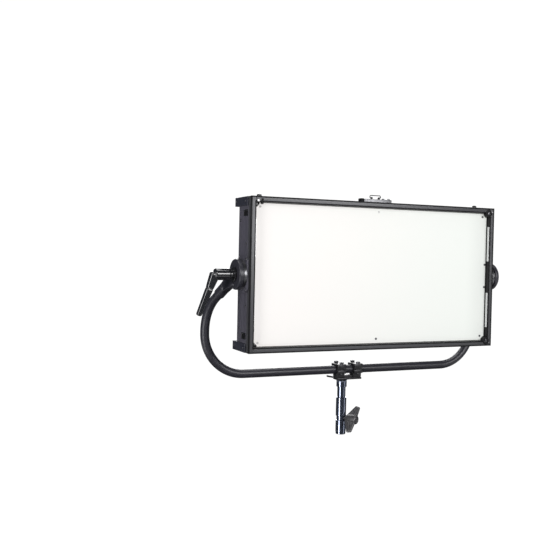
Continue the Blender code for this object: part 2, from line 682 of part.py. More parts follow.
# ---------------------------------------------------------------- tilt joint on the lamp
def make_pivot(label, side, lamp):
    """The pivot plate, the friction disc and the bolt on one side of the lamp."""
    y, z, c = PIVOT_PLATE_Y, PIVOT_PLATE_Z, 0.008
    outline = [(-y, c - z), (c - y, -z), (y - c, -z), (y, c - z),
               (y, z - c), (y - c, z), (c - y, z), (-y, z - c)]
    low, high = sorted((side * PLATE_X, side * (PLATE_X + PIVOT_PLATE)))
    extrusion(f"pivot_plate_{label}", [outline, circle(BOLT_RADIUS + GAP)], low, high,
              HOUSING, "X", lamp)
    turn = (0, side * math.pi / 2, 0)
    disc_end = DISC_X + DISC_THICKNESS
    edge = 0.0012
    bore = BOLT_RADIUS + GAP
    profile = [(bore, disc_end), (DISC_RADIUS - edge, disc_end), (DISC_RADIUS, disc_end - edge),
               (DISC_RADIUS, DISC_X), (bore, DISC_X), (bore, disc_end)]
    turned(f"friction_disc_{label}", profile, DIECAST, rotation=turn, parent=lamp)
    head_start = HALF_W - SIDE_PLATE - GAP
    tip = HUB_OUTER_X + (BOLT_TIP if side < 0 else BOLT_SHORT_TIP)
    profile = [(0.0, tip), (BOLT_RADIUS, tip), (BOLT_RADIUS, head_start),
               (2 * BOLT_RADIUS, head_start), (2 * BOLT_RADIUS, head_start - BOLT_HEAD),
               (0.0, head_start - BOLT_HEAD)]
    turned(f"pivot_bolt_{label}", profile, STEEL, rotation=turn, parent=lamp)


# ---------------------------------------------------------------- lamp housing
def make_side_plate(label, side, lamp):
    """A flat side plate between the profiles, with the bolt hole and two peg holes."""
    end = PROFILE_INNER_Z - GAP
    outline = rectangle((PROFILE_FRONT, -end), (SIDE_REACH, end))
    peg = end - PEG_HOLE_FROM_END
    holes = [circle(BOLT_RADIUS + GAP), circle(PEG_HOLE_RADIUS, (PEG_HOLE_Y, peg)),
             circle(PEG_HOLE_RADIUS, (PEG_HOLE_Y, -peg))]
    low, high = sorted((side * (HALF_W - SIDE_PLATE), side * HALF_W))
    return extrusion(f"side_plate_{label}", [outline] + holes, low, high, HOUSING, "X", lamp)


def make_profile(label, side, lamp):
    """A folded channel across the lamp, open towards the inside, with a returned rear lip."""
    outer, inner, wall = side * HALF_H, side * PROFILE_INNER_Z, side * PROFILE_WALL
    front, rear, lip = PROFILE_FRONT, PROFILE_REACH, 0.010
    thick = PROFILE_WALL
    outline = [
        (front, inner), (front, outer), (rear, outer), (rear, inner), (rear - lip, inner),
        (rear - lip, inner + wall), (rear - thick, inner + wall), (rear - thick, outer - wall),
        (front + thick, outer - wall), (front + thick, inner)]
    half = HALF_W - END_CAP + END_CAP_PROUD - GAP
    return extrusion(f"profile_{label}", [outline], -half, half, HOUSING, "X", lamp)


def make_end_cap(label, side_x, side_z, lamp):
    """A cap over the end of a profile."""
    inner, outer = sorted((side_z * PROFILE_INNER_Z, side_z * HALF_H))
    low_x, high_x = sorted((side_x * (HALF_W - END_CAP + END_CAP_PROUD),
                            side_x * (HALF_W + END_CAP_PROUD)))
    mesh = box_mesh(f"end_cap_{label}", (low_x, PROFILE_FRONT, inner),
                    (high_x, PROFILE_REACH, outer))
    return bevel(place(f"end_cap_{label}", mesh, HOUSING, parent=lamp), 0.0008, 1)


def rim_outline(outer, inner, lip, at_side):
    """The rim's angle section as (distance, depth) points, for any of its four sides."""
    front, back, rear = -FRONT_REACH, -FRONT_REACH + RIM_DEPTH, PANEL_REAR
    points = [(inner, front), (outer, front), (outer, rear), (outer - lip, rear),
              (outer - lip, back), (inner, back)]
    return points if at_side else [(depth, distance) for distance, depth in points]


def make_rim(lamp):
    """Four rails around the front: full-height sides, and top and bottom between them."""
    for label, side in (("left", -1), ("right", 1)):
        outline = rim_outline(side * HALF_W, side * RIM_INNER_X, side * RIM_LIP, True)
        rail = extrusion(f"rim_{label}", [outline], -HALF_H, HALF_H, RIM, "Z", lamp)
        bevel(rail, 0.0007, 1)
    for label, side in (("top", 1), ("bottom", -1)):
        outline = rim_outline(side * HALF_H, side * RIM_INNER_Z, side * RIM_LIP, False)
        half = RIM_INNER_X - GAP
        rail = extrusion(f"rim_{label}", [outline], -half, half, RIM, "X", lamp)
        bevel(rail, 0.0007, 1)


def make_panel(lamp):
    """The white phosphor panel, held behind the rim's flange."""
    x, z = RIM_INNER_X + 0.006, RIM_INNER_Z + 0.006
    mesh = box_mesh("phosphor_panel", (-x, PANEL_FRONT, -z), (x, PANEL_REAR - GAP, z))
    return bevel(place("phosphor_panel", mesh, PANEL, parent=lamp), 0.0005, 1)


def make_corner(label, side_x, side_z, lamp):
    """A small triangular bracket across a corner of the recess."""
    x, z = side_x * (RIM_INNER_X - GAP), side_z * (RIM_INNER_Z - GAP)
    leg = CORNER_LEG
    shoulder = CORNER_SHOULDER * leg
    outline = [(x, z), (x - side_x * leg, z), (x - side_x * leg, z - side_z * shoulder),
               (x - side_x * shoulder, z - side_z * leg), (x, z - side_z * leg)]
    rear = PANEL_FRONT - GAP
    made = extrusion(f"corner_{label}", [[(u, -v) for u, v in outline]],
                     rear - CORNER_THICKNESS, rear, BLACK, "Z", lamp)
    made.rotation_euler = (-math.pi / 2, 0, 0)
    made.location = (0, made.location.z, 0)
    return made


def make_strip(label, side_x, side_z, lamp):
    """A leaf-spring strip on the inner face of a side rail."""
    low_x, high_x = sorted((side_x * (RIM_INNER_X - GAP),
                            side_x * (RIM_INNER_X - GAP - STRIP_THICKNESS)))
    low_z, high_z = sorted((side_z * STRIP_FROM_CENTRE,
                            side_z * (STRIP_FROM_CENTRE + STRIP_LENGTH)))
    front = -FRONT_REACH + 0.0015
    mesh = box_mesh(f"strip_{label}", (low_x, front, low_z), (high_x, front + STRIP_WIDTH, high_z))
    return bevel(place(f"strip_{label}", mesh, ALUMINIUM, parent=lamp), 0.0003, 1)


def make_chamber(lamp):
    """The white mixing chamber, a tray open towards the panel."""
    x = HALF_W - SIDE_PLATE - CHAMBER_MARGIN - BOLT_HEAD
    z = PROFILE_INNER_Z - CHAMBER_MARGIN
    front, rear, wall = PROFILE_FRONT, CHAMBER_REAR, CHAMBER_WALL
    tray = place("mixing_chamber", box_mesh("mixing_chamber", (-x, front, -z), (x, rear, z)),
                 WHITE, parent=lamp)
    hollow = box_mesh("chamber_hollow", (wall - x, front - 0.01, wall - z),
                      (x - wall, rear - wall, z - wall))
    return cut(tray, hollow)


def make_board(index, lamp):
    """A strip of LEDs on the chamber's back, shining forward."""
    spacing = 2 * (PROFILE_INNER_Z - CHAMBER_MARGIN) / BOARD_COUNT
    z = (index - (BOARD_COUNT - 1) / 2) * spacing
    x = HALF_W - SIDE_PLATE - CHAMBER_MARGIN - BOLT_HEAD - CHAMBER_WALL - BOARD_END_MARGIN
    rear = CHAMBER_REAR - CHAMBER_WALL - GAP
    front = rear - BOARD_THICKNESS
    name = f"led_board_{index + 1}"
    board = place(name, box_mesh(name, (-x, front, z - BOARD_HEIGHT / 2),
                                 (x, rear, z + BOARD_HEIGHT / 2)), BOARD, parent=lamp)
    half = LED_SIZE / 2
    for i in range(LED_COUNT):
        led_x = (i + 0.5) / LED_COUNT * 2 * x - x
        mesh = box_mesh(f"{name}_led_{i}", (led_x - half, front - LED_HEIGHT, z - half),
                        (led_x + half, front + BOARD_THICKNESS / 2, z + half))
        join(board, mesh)
    return board


def make_heat_sink(lamp):
    """The finned heat sink behind the chamber, one extruded comb."""
    x = HALF_W - SIDE_PLATE - SINK_SIDE_MARGIN
    z = PROFILE_INNER_Z - SINK_END_MARGIN
    front, base = SINK_FRONT, SINK_FRONT + SINK_BASE
    tips = base + SINK_FIN_HEIGHT
    pitch = (2 * x - SINK_FIN) / (SINK_FIN_COUNT - 1)
    outline = [(x, front), (-x, front)]
    for i in range(SINK_FIN_COUNT):
        left = -x + i * pitch
        right = left + SINK_FIN
        outline += [(left, base)] if i else []
        outline += [(left, tips), (right, tips)]
        outline += [(right, base)] if i < SINK_FIN_COUNT - 1 else []
    return extrusion("heat_sink", [outline], -z, z, SINK, "Z", lamp)


def make_case(lamp):
    """The electronics case on the fins, open towards them, with holes for the controls."""
    x, z, wall = CASE_WIDTH / 2, CASE_HEIGHT / 2, CASE_WALL
    mesh = box_mesh("driver_case", (-x, CASE_FRONT, -z), (x, CASE_REAR, z))
    case = bevel(place("driver_case", mesh, HOUSING, parent=lamp), 0.0015, 1)
    cut(case, box_mesh("case_hollow", (wall - x, CASE_FRONT - 0.01, wall - z),
                       (x - wall, CASE_REAR - wall, z - wall)))
    through = (CASE_REAR - 2 * wall, CASE_REAR + 0.01)
    for name, hole_x, radius in [("knob", KNOB_X, SHAFT_RADIUS)] + [
            (f"socket_{i}", x_i, SOCKET_RADIUS) for i, x_i in enumerate(SOCKET_XS)]:
        cut(case, cylinder_mesh(name + "_hole", radius + GAP, (hole_x, through[0], CONTROL_Z),
                                (hole_x, through[1], CONTROL_Z), 24))
    half_x, half_z = SWITCH_WIDTH / 2 + GAP, SWITCH_HEIGHT / 2 + GAP
    cut(case, box_mesh("switch_hole", (SWITCH_X - half_x, through[0], CONTROL_Z - half_z),
                       (SWITCH_X + half_x, through[1], CONTROL_Z + half_z)))
    return case


def make_controls(lamp):
    """The dimmer knob, the rocker switch and three round sockets on the case."""
    knob_foot = CASE_REAR + 2 * GAP
    profile = [(0.0, knob_foot + KNOB_LENGTH), (KNOB_RADIUS * 0.88, knob_foot + KNOB_LENGTH),
               (KNOB_RADIUS * 0.94, knob_foot + KNOB_LENGTH * 0.9), (KNOB_RADIUS, knob_foot),
               (SHAFT_RADIUS, knob_foot), (SHAFT_RADIUS, CASE_REAR - 0.010),
               (0.0, CASE_REAR - 0.010)]
    turned("dimmer_knob", profile, BLACK, (KNOB_X, 0, CONTROL_Z), (-math.pi / 2, 0, 0), lamp)

    half, reach = SWITCH_HEIGHT / 2 - 0.0008, 0.0035
    axis = empty("switch_axis", (SWITCH_X, CASE_REAR - 0.001, CONTROL_Z))
    axis.rotation_euler = (-SWITCH_TRAVEL, 0, 0)
    axis.parent = lamp
    rocker = [(reach, -half), (reach * 0.45, 0.0), (reach, half), (-0.004, half * 0.72),
              (-0.004, -half * 0.72)]
    width = SWITCH_WIDTH / 2 - 0.0006
    extrusion("power_switch", [rocker], -width, width, RUBBER, "X", axis)

    for name, x in zip(("power_inlet", "data_in", "data_out"), SOCKET_XS):
        front, face = CASE_REAR - SOCKET_DEPTH, CASE_REAR + SOCKET_FLANGE
        profile = [(0.0, front + 0.002), (SOCKET_BORE, front + 0.002), (SOCKET_BORE, face),
                   (SOCKET_RADIUS + 0.002, face), (SOCKET_RADIUS + 0.002, CASE_REAR + GAP),
                   (SOCKET_RADIUS, CASE_REAR + GAP), (SOCKET_RADIUS, front), (0.0, front)]
        turned(name, profile, BLACK, (x, 0, CONTROL_Z), (-math.pi / 2, 0, 0), lamp)


# ---------------------------------------------------------------- latch bar on the top
def make_latch(lamp):
    """A bright bar with a black end block, and a folding pull ring in two bored lugs."""
    low, high = HALF_H + GAP, HALF_H + GAP + LATCH_HEIGHT
    rear = LATCH_Y + LATCH_DEPTH
    left, right = LATCH_X - LATCH_LENGTH / 2, LATCH_X + LATCH_LENGTH / 2
    split = left + LATCH_BLOCK
    block = box_mesh("latch_block", (left, LATCH_Y - 0.001, low), (split - GAP, rear, high + 0.001))
    bevel(place("latch_block", block, BLACK, parent=lamp), 0.0010, 1)
    bar = place("latch_bar", box_mesh("latch_bar", (split, LATCH_Y, low), (right, rear, high)),
                ALUMINIUM, parent=lamp)
    bevel(bar, 0.0008, 1)
    ring_y, ring_z = LATCH_Y + LATCH_DEPTH / 2, high + LUG_RISE
    half = RING_WIDTH / 2
    for label, side in (("a", -1), ("b", 1)):
        inner = RING_X + side * LUG_INNER
        low_x, high_x = sorted((inner, inner + side * LUG_WIDTH))
        join(bar, box_mesh("lug_" + label, (low_x, ring_y - LUG_HALF_DEPTH, low + 0.002),
                           (high_x, ring_y + LUG_HALF_DEPTH, ring_z + LUG_HALF_DEPTH)))
    bore = RING_WIRE + GAP
    cut(bar, cylinder_mesh("lug_bore", bore, (RING_X - half, ring_y, ring_z),
                           (RING_X + half, ring_y, ring_z), 16))

    axis = empty("ring_axis", (RING_X, ring_y, ring_z))
    axis.parent = lamp
    corners = [(-RING_FOOT, 0, 0), (-half, 0, 0), (-half, 0, RING_HEIGHT),
               (half, 0, RING_HEIGHT), (half, 0, 0), (RING_FOOT, 0, 0)]
    path = rounded_path(corners, [RING_CORNER] * 4, math.radians(30))
    curve = bpy.data.curves.new("pull_ring", "CURVE")
    curve.dimensions = "3D"
    curve.bevel_depth = RING_WIRE
    curve.bevel_resolution = 2
    curve.use_fill_caps = True
    spline = curve.splines.new("POLY")
    spline.points.add(len(path) - 1)
    for point, place_at in zip(spline.points, path):
        point.co = (*place_at, 1.0)
    made = bpy.data.objects.new("pull_ring", curve)
    made.parent = axis
    PARTS.objects.link(made)
    return smooth(curve_to_mesh(made, STEEL), 60)


# ---------------------------------------------------------------- assembly
def build():
    """Make every piece of the light."""
    make_spigot()
    make_base_plate()
    make_clamps()
    make_wing_screw()
    make_yoke_tube()
    lamp = empty("lamp_axis", PIVOT)
    for label, side in (("left", -1), ("right", 1)):
        make_yoke_end(label, side)
        make_pivot(label, side, lamp)
        make_side_plate(label, side, lamp)
    make_lever_insert("left", -1)
    make_lever("left", -1)
    make_pivot_nut("right", 1)
    for label, side in (("top", 1), ("bottom", -1)):
        make_profile(label, side, lamp)
    for tall, side_z in (("top", 1), ("bottom", -1)):
        for wide, side_x in (("left", -1), ("right", 1)):
            label = f"{tall}_{wide}"
            make_end_cap(label, side_x, side_z, lamp)
            make_corner(label, side_x, side_z, lamp)
            make_strip(label, side_x, side_z, lamp)
    make_rim(lamp)
    make_panel(lamp)
    make_chamber(lamp)
    for index in range(BOARD_COUNT):
        make_board(index, lamp)
    make_heat_sink(lamp)
    make_case(lamp)
    make_controls(lamp)
    make_latch(lamp)


build()
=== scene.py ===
import json
import math

import bpy
from mathutils import Matrix, Vector


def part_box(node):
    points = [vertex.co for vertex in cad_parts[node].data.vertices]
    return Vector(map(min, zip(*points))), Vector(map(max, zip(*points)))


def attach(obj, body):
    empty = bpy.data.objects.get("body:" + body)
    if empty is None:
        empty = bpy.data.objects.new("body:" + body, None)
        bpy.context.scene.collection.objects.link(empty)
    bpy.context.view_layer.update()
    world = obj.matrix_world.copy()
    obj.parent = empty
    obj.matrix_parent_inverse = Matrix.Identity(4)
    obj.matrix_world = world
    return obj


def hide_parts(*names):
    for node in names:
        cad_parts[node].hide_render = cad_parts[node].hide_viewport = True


# A studio LED panel light: the finishes and the finely made pieces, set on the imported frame.
# Lengths are in metres. The lamp shines to -Y, and the spigot's lower end is the origin.

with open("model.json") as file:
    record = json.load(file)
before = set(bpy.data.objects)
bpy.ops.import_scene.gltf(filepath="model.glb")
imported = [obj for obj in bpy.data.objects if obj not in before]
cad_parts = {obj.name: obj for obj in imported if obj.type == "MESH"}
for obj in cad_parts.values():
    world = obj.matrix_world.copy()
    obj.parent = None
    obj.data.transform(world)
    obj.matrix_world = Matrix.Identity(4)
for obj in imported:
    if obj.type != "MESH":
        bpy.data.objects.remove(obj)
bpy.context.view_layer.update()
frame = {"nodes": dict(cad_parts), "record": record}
nodes = frame["nodes"]

GAP = 0.0003                                 # air left between pieces that touch
PIVOT = Vector((0.0, -0.147, 0.4358))        # middle of the tilt axis
HALF_W, HALF_H = 0.350, 0.1835               # lamp housing
RIM_FACE, PANEL_FACE = -0.1850, -0.1717      # front faces of the rim and the panel
INNER_HALF_W, INNER_HALF_H = 0.3374, 0.1709  # the rim's inner walls
HUB_IN, HUB_OUT = 0.3622, 0.3742             # yoke hub's faces from the middle
TUBE_X, TUBE_Y, TUBE_Z = 0.4042, -0.028, 0.1808
KINK_Z = PIVOT.z - 0.092
TUBE_RADIUS, BEND_RADIUS = 0.0113, 0.105
TUBE_START = 0.42                            # share of the arm where the tube begins
WING_FOOT = Vector((0.0, 0.0, 0.044))        # wing screw's axis on the spigot's axis
WING_BEARING = math.radians(-58)
CONTROL_Z = PIVOT.z - 0.020                  # row of controls and sockets on the rear
CAMERA_PLACE = (-1.01015, -1.82743, 0.48277)
CAMERA_TURN, CAMERA_LIFT, CAMERA_ROLL = -23.5127, 1.2311, 1.1955
CAMERA_LENS = 50.74


# ------------------------------------------------------------------ camera and light
def set_camera():
    """A nearly level camera to the left of the lamp's front."""
    turn, lift, roll = (math.radians(angle) for angle in (CAMERA_TURN, CAMERA_LIFT, CAMERA_ROLL))
    back = Vector((math.sin(turn) * math.cos(lift), -math.cos(turn) * math.cos(lift),
                   math.sin(lift)))
    right = Vector((math.cos(turn), math.sin(turn), 0.0))
    up = back.cross(right)
    right, up = (right * math.cos(roll) + up * math.sin(roll),
                 up * math.cos(roll) - right * math.sin(roll))
    bpy.ops.object.camera_add()
    camera = bpy.context.object
    camera.name = "camera"
    camera.matrix_world = Matrix.Translation(CAMERA_PLACE) @ Matrix(
        (right, up, back)).transposed().to_4x4()
    camera.data.sensor_width = 36.0
    camera.data.lens = CAMERA_LENS
    bpy.context.scene.camera = camera


def soft_light(name, place, target, size, watts, tint=(1.0, 1.0, 1.0)):
    """A rectangular soft light aimed at a point."""
    bpy.ops.object.light_add(type="AREA", location=place)
    lamp = bpy.context.object
    lamp.name = name
    lamp.rotation_euler = (Vector(target) - Vector(place)).to_track_quat("-Z", "Y").to_euler()
    lamp.data.shape = "RECTANGLE"
    lamp.data.size, lamp.data.size_y = size
    lamp.data.energy = watts
    lamp.data.color = tint


def set_studio():
    """White surroundings, and soft lights on both sides and above."""
    bpy.context.scene.view_settings.view_transform = "Standard"
    world = bpy.data.worlds.new("studio")
    bpy.context.scene.world = world
    world.use_nodes = True
    tree = world.node_tree
    tree.nodes.clear()
    out = tree.nodes.new("ShaderNodeOutputWorld")
    mix = tree.nodes.new("ShaderNodeMixShader")
    seen, lit = tree.nodes.new("ShaderNodeBackground"), tree.nodes.new("ShaderNodeBackground")
    path = tree.nodes.new("ShaderNodeLightPath")
    seen.inputs["Strength"].default_value = 1.05
    seen.inputs["Color"].default_value = (1, 1, 1, 1)
    lit.inputs["Strength"].default_value = 0.07
    lit.inputs["Color"].default_value = (0.80, 0.88, 1.0, 1)
    tree.links.new(path.outputs["Is Camera Ray"], mix.inputs["Fac"])
    tree.links.new(lit.outputs[0], mix.inputs[1])
    tree.links.new(seen.outputs[0], mix.inputs[2])
    tree.links.new(mix.outputs[0], out.inputs[0])
    soft_light("key_light", (-2.50, -1.15, 0.55), (0, 0, 0.4), (0.8, 2.9), 50)
    soft_light("fill_light", (0.80, -2.60, 0.95), (0, 0, 0.4), (1.9, 0.9), 44)
    soft_light("low_light", (2.00, -1.70, -0.40), (0, 0, 0.1), (0.5, 0.9), 1.6)
    soft_light("front_light", (-1.35, -2.60, 1.75), (0, 0, 0.4), (1.2, 0.8), 22)
    soft_light("top_light", (0.1, 0.2, 2.9), (0, 0, 0.4), (2.2, 1.6), 48)
    soft_light("rear_light", (1.0, 2.8, 1.4), (0, 0, 0.4), (1.8, 1.8), 60)


# ------------------------------------------------------------------ finishes
class Wire:
    """A socket's output in a finish, which arithmetic extends with Math nodes."""

    def __init__(self, finish, socket):
        self.finish, self.socket = finish, socket

    def maths(self, operation, first, second=0.0):
        return self.finish.node("ShaderNodeMath", {"operation": operation},
                                {0: first, 1: second})

    def __add__(self, other):
        return self.maths("ADD", self, other)

    __radd__ = __add__

    def __sub__(self, other):
        return self.maths("SUBTRACT", self, other)

    def __rsub__(self, other):
        return self.maths("SUBTRACT", other, self)

    def __mul__(self, other):
        return self.maths("MULTIPLY", self, other)

    __rmul__ = __mul__

    def __gt__(self, other):
        return self.maths("GREATER_THAN", self, other)

    def __abs__(self):
        return self.maths("ABSOLUTE", self)


class Finish:
    """A material on the Principled shader, with one method for every other node."""

    def __init__(self, name, colour, roughness, metallic=0.0, **constants):
        self.material = bpy.data.materials.new(name)
        self.material.use_nodes = True
        self.tree = self.material.node_tree
        self.shader = self.tree.nodes["Principled BSDF"]
        self.feed("Base Color", (*colour, 1.0))
        self.feed("Roughness", roughness)
        self.feed("Metallic", metallic)
        for socket, value in constants.items():
            self.feed(socket.replace("_", " "), value)
        self.place = self.node("ShaderNodeTexCoord", output="Object")

    def node(self, kind, settings=None, sockets=None, output=0):
        made = self.tree.nodes.new(kind)
        for key, value in (settings or {}).items():
            setattr(made, key, value)
        for key, value in (sockets or {}).items():
            if isinstance(value, Wire):
                self.tree.links.new(value.socket, made.inputs[key])
            else:
                made.inputs[key].default_value = value
        return Wire(self, made.outputs[output])

    def feed(self, socket, value):
        if isinstance(value, Wire):
            self.tree.links.new(value.socket, self.shader.inputs[socket])
        else:
            self.shader.inputs[socket].default_value = value

    def noise(self, scale, detail=2.0, stretch=None, distortion=0.0):
        place = self.place
        if stretch:
            place = self.node("ShaderNodeMapping", None, {"Vector": place, "Scale": stretch})
        return self.node("ShaderNodeTexNoise", None,
                         {"Vector": place, "Scale": scale, "Detail": detail,
                          "Distortion": distortion}, "Fac")

    def step(self, value, low, high):
        return self.node("ShaderNodeMapRange", {"interpolation_type": "SMOOTHSTEP"},
                         {"Value": value, "From Min": low, "From Max": high})

    def mix(self, share, first, second):
        def four(colour):
            return colour if isinstance(colour, Wire) else (*colour, 1.0)
        return self.node("ShaderNodeMix", {"data_type": "RGBA"},
                         {0: share, 6: four(first), 7: four(second)}, 2)

    def bump(self, height, strength, distance):
        self.feed("Normal", self.node("ShaderNodeBump", None,
                                      {"Height": height, "Strength": strength,
                                       "Distance": distance}))


def shade(colour, amount):
    """A colour made lighter or darker."""
    return tuple(min(1.0, c * amount) for c in colour)


def powder_coat(name, colour, roughness, grain_scale=1500, metallic=0.15, scuffs=0.35, ior=1.5):
    """Baked paint: fine orange peel, slow tone changes, and a few pale scuffs."""
    finish = Finish(name, colour, roughness, metallic, IOR=ior)
    cloud = finish.noise(7.0, 3.0)
    grain = finish.noise(grain_scale, 2.0)
    marks = finish.step(finish.noise(46.0, 6.0, (1, 1, 2.6), 1.4), 0.66, 0.74)
    tone = finish.mix(cloud, shade(colour, 0.86), shade(colour, 1.16))
    worn = finish.mix(marks * scuffs, tone, shade(colour, 1.9))
    finish.feed("Base Color", worn)
    finish.feed("Roughness", roughness - 0.05 + grain * 0.08 + marks * 0.10)
    finish.bump(grain, 0.22, 0.00012)
    return finish.material


def moulded_plastic(name, colour, roughness, sheen=0.5):
    """Spark-eroded black plastic: a fine texture, with a little handling gloss."""
    finish = Finish(name, colour, roughness, IOR=1.46, Specular_IOR_Level=sheen)
    grain = finish.noise(2600, 2.0)
    rubbed = finish.step(finish.noise(24.0, 3.0), 0.50, 0.68)
    finish.feed("Base Color", finish.mix(rubbed, shade(colour, 0.85), shade(colour, 1.35)))
    finish.feed("Roughness", roughness + grain * 0.10 - rubbed * 0.08)
    finish.bump(grain, 0.30, 0.00008)
    return finish.material


def brushed_metal(name, colour, roughness, stretch):
    """Bare metal drawn in one direction, with fine lines and a soft patchy sheen."""
    finish = Finish(name, colour, roughness, 1.0)
    lines = finish.noise(420.0, 3.0, stretch)
    cloud = finish.noise(18.0, 3.0)
    finish.feed("Base Color", finish.mix(lines, shade(colour, 0.84), shade(colour, 1.10)))
    finish.feed("Roughness", roughness - 0.06 + lines * 0.10 + cloud * 0.06)
    finish.bump(lines, 0.12, 0.00006)
    return finish.material


def chrome_plate(name, colour, roughness):
    """Polished plate with turning lines under it, hairline scratches and dulled patches."""
    finish = Finish(name, colour, roughness, 1.0)
    lines = finish.noise(500.0, 2.0, (0.15, 0.15, 6.0))
    dull = finish.step(finish.noise(60.0, 5.0), 0.52, 0.70)
    finish.feed("Base Color", finish.mix(dull, colour, shade(colour, 0.78)))
    finish.feed("Roughness", roughness + lines * 0.05 + dull * 0.08)
    finish.bump(lines, 0.05, 0.00004)
    return finish.material


def cast_metal(name, colour, roughness, scale=900):
    """Sand-grained die casting under thin paint, rubbed lighter here and there."""
    finish = Finish(name, colour, roughness, 0.55)
    grain = finish.noise(scale, 4.0)
    rubbed = finish.step(finish.noise(90.0, 4.0), 0.55, 0.70)
    finish.feed("Base Color", finish.mix(rubbed * 0.6, shade(colour, 0.85), shade(colour, 1.7)))
    finish.feed("Roughness", roughness + grain * 0.14 - rubbed * 0.06)
    finish.bump(grain, 0.45, 0.00018)
    return finish.material


def glowing_panel(name):
    """The phosphor sheet: fine matt grain, a painted glow by emission that makes it look brightly
    lit, a painted light tint warmer to the left, and painted shade at its right end and along the
    rails.
    """
    # painted glow: the emission makes the unlit sheet look brightly lit
    finish = Finish(name, (0.86, 0.86, 0.84), 0.55, IOR=1.45, Emission_Strength=0.52)
    sideways = finish.node("ShaderNodeSeparateXYZ", None, {0: finish.place}, "X")
    across = finish.step(sideways, -HALF_W, HALF_W)
    height = finish.node("ShaderNodeSeparateXYZ", None, {0: finish.place}, "Z") - PIVOT.z
    # painted shade towards the sheet's right end
    edge = finish.step(abs(sideways), 0.265, 0.345)
    # painted shadow of the top and bottom rails on the sheet
    rim = finish.step(abs(height), 0.105, 0.178)
    # painted light tint: warm on the left, cooler on the right
    painted_light_tint = finish.mix(across, (0.900, 0.872, 0.850), (0.840, 0.868, 0.830))
    painted_shade_colour = finish.mix(edge * across * 0.45 + rim * 0.06, painted_light_tint, shade((0.84, 0.86, 0.83), 0.72))
    grain = finish.noise(1800, 2.0)
    finish.feed("Base Color", finish.mix(0.5, painted_shade_colour, (0.0, 0.0, 0.0)))
    # the painted light and shade also colour the glow
    finish.feed("Emission Color", painted_shade_colour)
    finish.feed("Roughness", 0.50 + grain * 0.12)
    finish.bump(grain, 0.10, 0.00006)
    return finish.material


def circuit_lacquer(name):
    """White solder mask with a faint weave under it."""
    finish = Finish(name, (0.80, 0.81, 0.78), 0.42)
    weave = finish.noise(1400, 1.0, (1, 1, 3))
    finish.feed("Base Color", finish.mix(weave, (0.74, 0.75, 0.70), (0.84, 0.85, 0.82)))
    finish.feed("Roughness", 0.36 + weave * 0.12)
    finish.bump(weave, 0.10, 0.00005)
    return finish.material


def rim_coat(name, colour, roughness):
    """Powder coat on the rim, matt black on the walls that look in at the panel."""
    finish = Finish(name, colour, roughness, 0.20, IOR=1.5)
    across = finish.node("ShaderNodeSeparateXYZ", None, {0: finish.place}, "X")
    height = finish.node("ShaderNodeSeparateXYZ", None, {0: finish.place}, "Z") - PIVOT.z
    inside = (1.0 - (abs(across) > INNER_HALF_W)) * (1.0 - (abs(height) > INNER_HALF_H))
    cloud = finish.noise(7.0, 3.0)
    grain = finish.noise(1100, 2.0)
    tone = finish.mix(cloud, shade(colour, 0.88), shade(colour, 1.14))
    finish.feed("Base Color", finish.mix(inside, tone, (0.005, 0.005, 0.006)))
    finish.feed("Roughness", roughness - 0.04 + grain * 0.08 + inside * 0.3)
    finish.bump(grain, 0.20, 0.00012)
    return finish.material


HOUSING_COLOUR = (0.076, 0.072, 0.092)
RIM_COLOUR = (0.058, 0.058, 0.063)
FINISHES = {
    "housing": powder_coat("housing_coat", HOUSING_COLOUR, 0.46),
    "rim": rim_coat("rim_coat", RIM_COLOUR, 0.38),
    "tube_paint": powder_coat("tube_gloss", (0.027, 0.026, 0.034), 0.38, 700, 0.10, 0.20),
    "black_plastic": moulded_plastic("black_plastic", (0.010, 0.010, 0.011), 0.20, 0.55),
    "switch_rubber": moulded_plastic("switch_rubber", (0.020, 0.020, 0.020), 0.70),
    "phosphor": glowing_panel("phosphor_sheet"),
    "white_reflector": powder_coat("white_reflector", (0.60, 0.60, 0.59), 0.60, 1600, 0.0, 0.0),
    "circuit_board": circuit_lacquer("circuit_board"),
    "aluminium": brushed_metal("satin_aluminium", (0.74, 0.74, 0.75), 0.30, (0.05, 1.0, 1.0)),
    "black_anodised": brushed_metal("black_anodised", (0.040, 0.040, 0.044), 0.42,
                                    (1.0, 1.0, 0.04)),
    "steel": brushed_metal("zinc_steel", (0.46, 0.46, 0.47), 0.30, (1.0, 1.0, 1.0)),
    "chrome": chrome_plate("spigot_chrome", (0.36, 0.395, 0.50), 0.11),
    "die_cast": cast_metal("die_cast", (0.135, 0.132, 0.136), 0.34),
}
DARK_STEEL = brushed_metal("dark_steel", (0.13, 0.13, 0.14), 0.32, (1.0, 1.0, 1.0))
GASKET = moulded_plastic("gasket_rubber", (0.006, 0.006, 0.007), 0.60, 0.22)
CAP_NAVY = powder_coat("end_cap_coat", (0.026, 0.027, 0.040), 0.44)
CASTING = cast_metal("bracket_casting", (0.044, 0.043, 0.047), 0.27)
BAR_ALUMINIUM = brushed_metal("latch_aluminium", (0.20, 0.20, 0.21), 0.42, (0.05, 1.0, 1.0))
BLACK_STEEL = brushed_metal("black_steel", (0.030, 0.030, 0.032), 0.36, (1.0, 1.0, 1.0))
DISC_STEEL = brushed_metal("disc_steel", (0.20, 0.20, 0.21), 0.32, (1.0, 1.0, 1.0))
LEVER_GLOSS = powder_coat("lever_gloss", (0.012, 0.012, 0.014), 0.13, 900, 0.0, 0.15, 1.8)


# ------------------------------------------------------------------ modelling
def alone(piece):
    """Make one piece the only selected and active one."""
    bpy.ops.object.select_all(action="DESELECT")
    piece.select_set(True)
    bpy.context.view_layer.objects.active = piece
    return piece


def settle(piece, matrix=None):
    """Write a piece's place into its mesh, and leave its object at the origin."""
    if matrix is not None:
        piece.matrix_world = matrix
    alone(piece)
    bpy.ops.object.transform_apply(location=True, rotation=True, scale=True)
    return piece


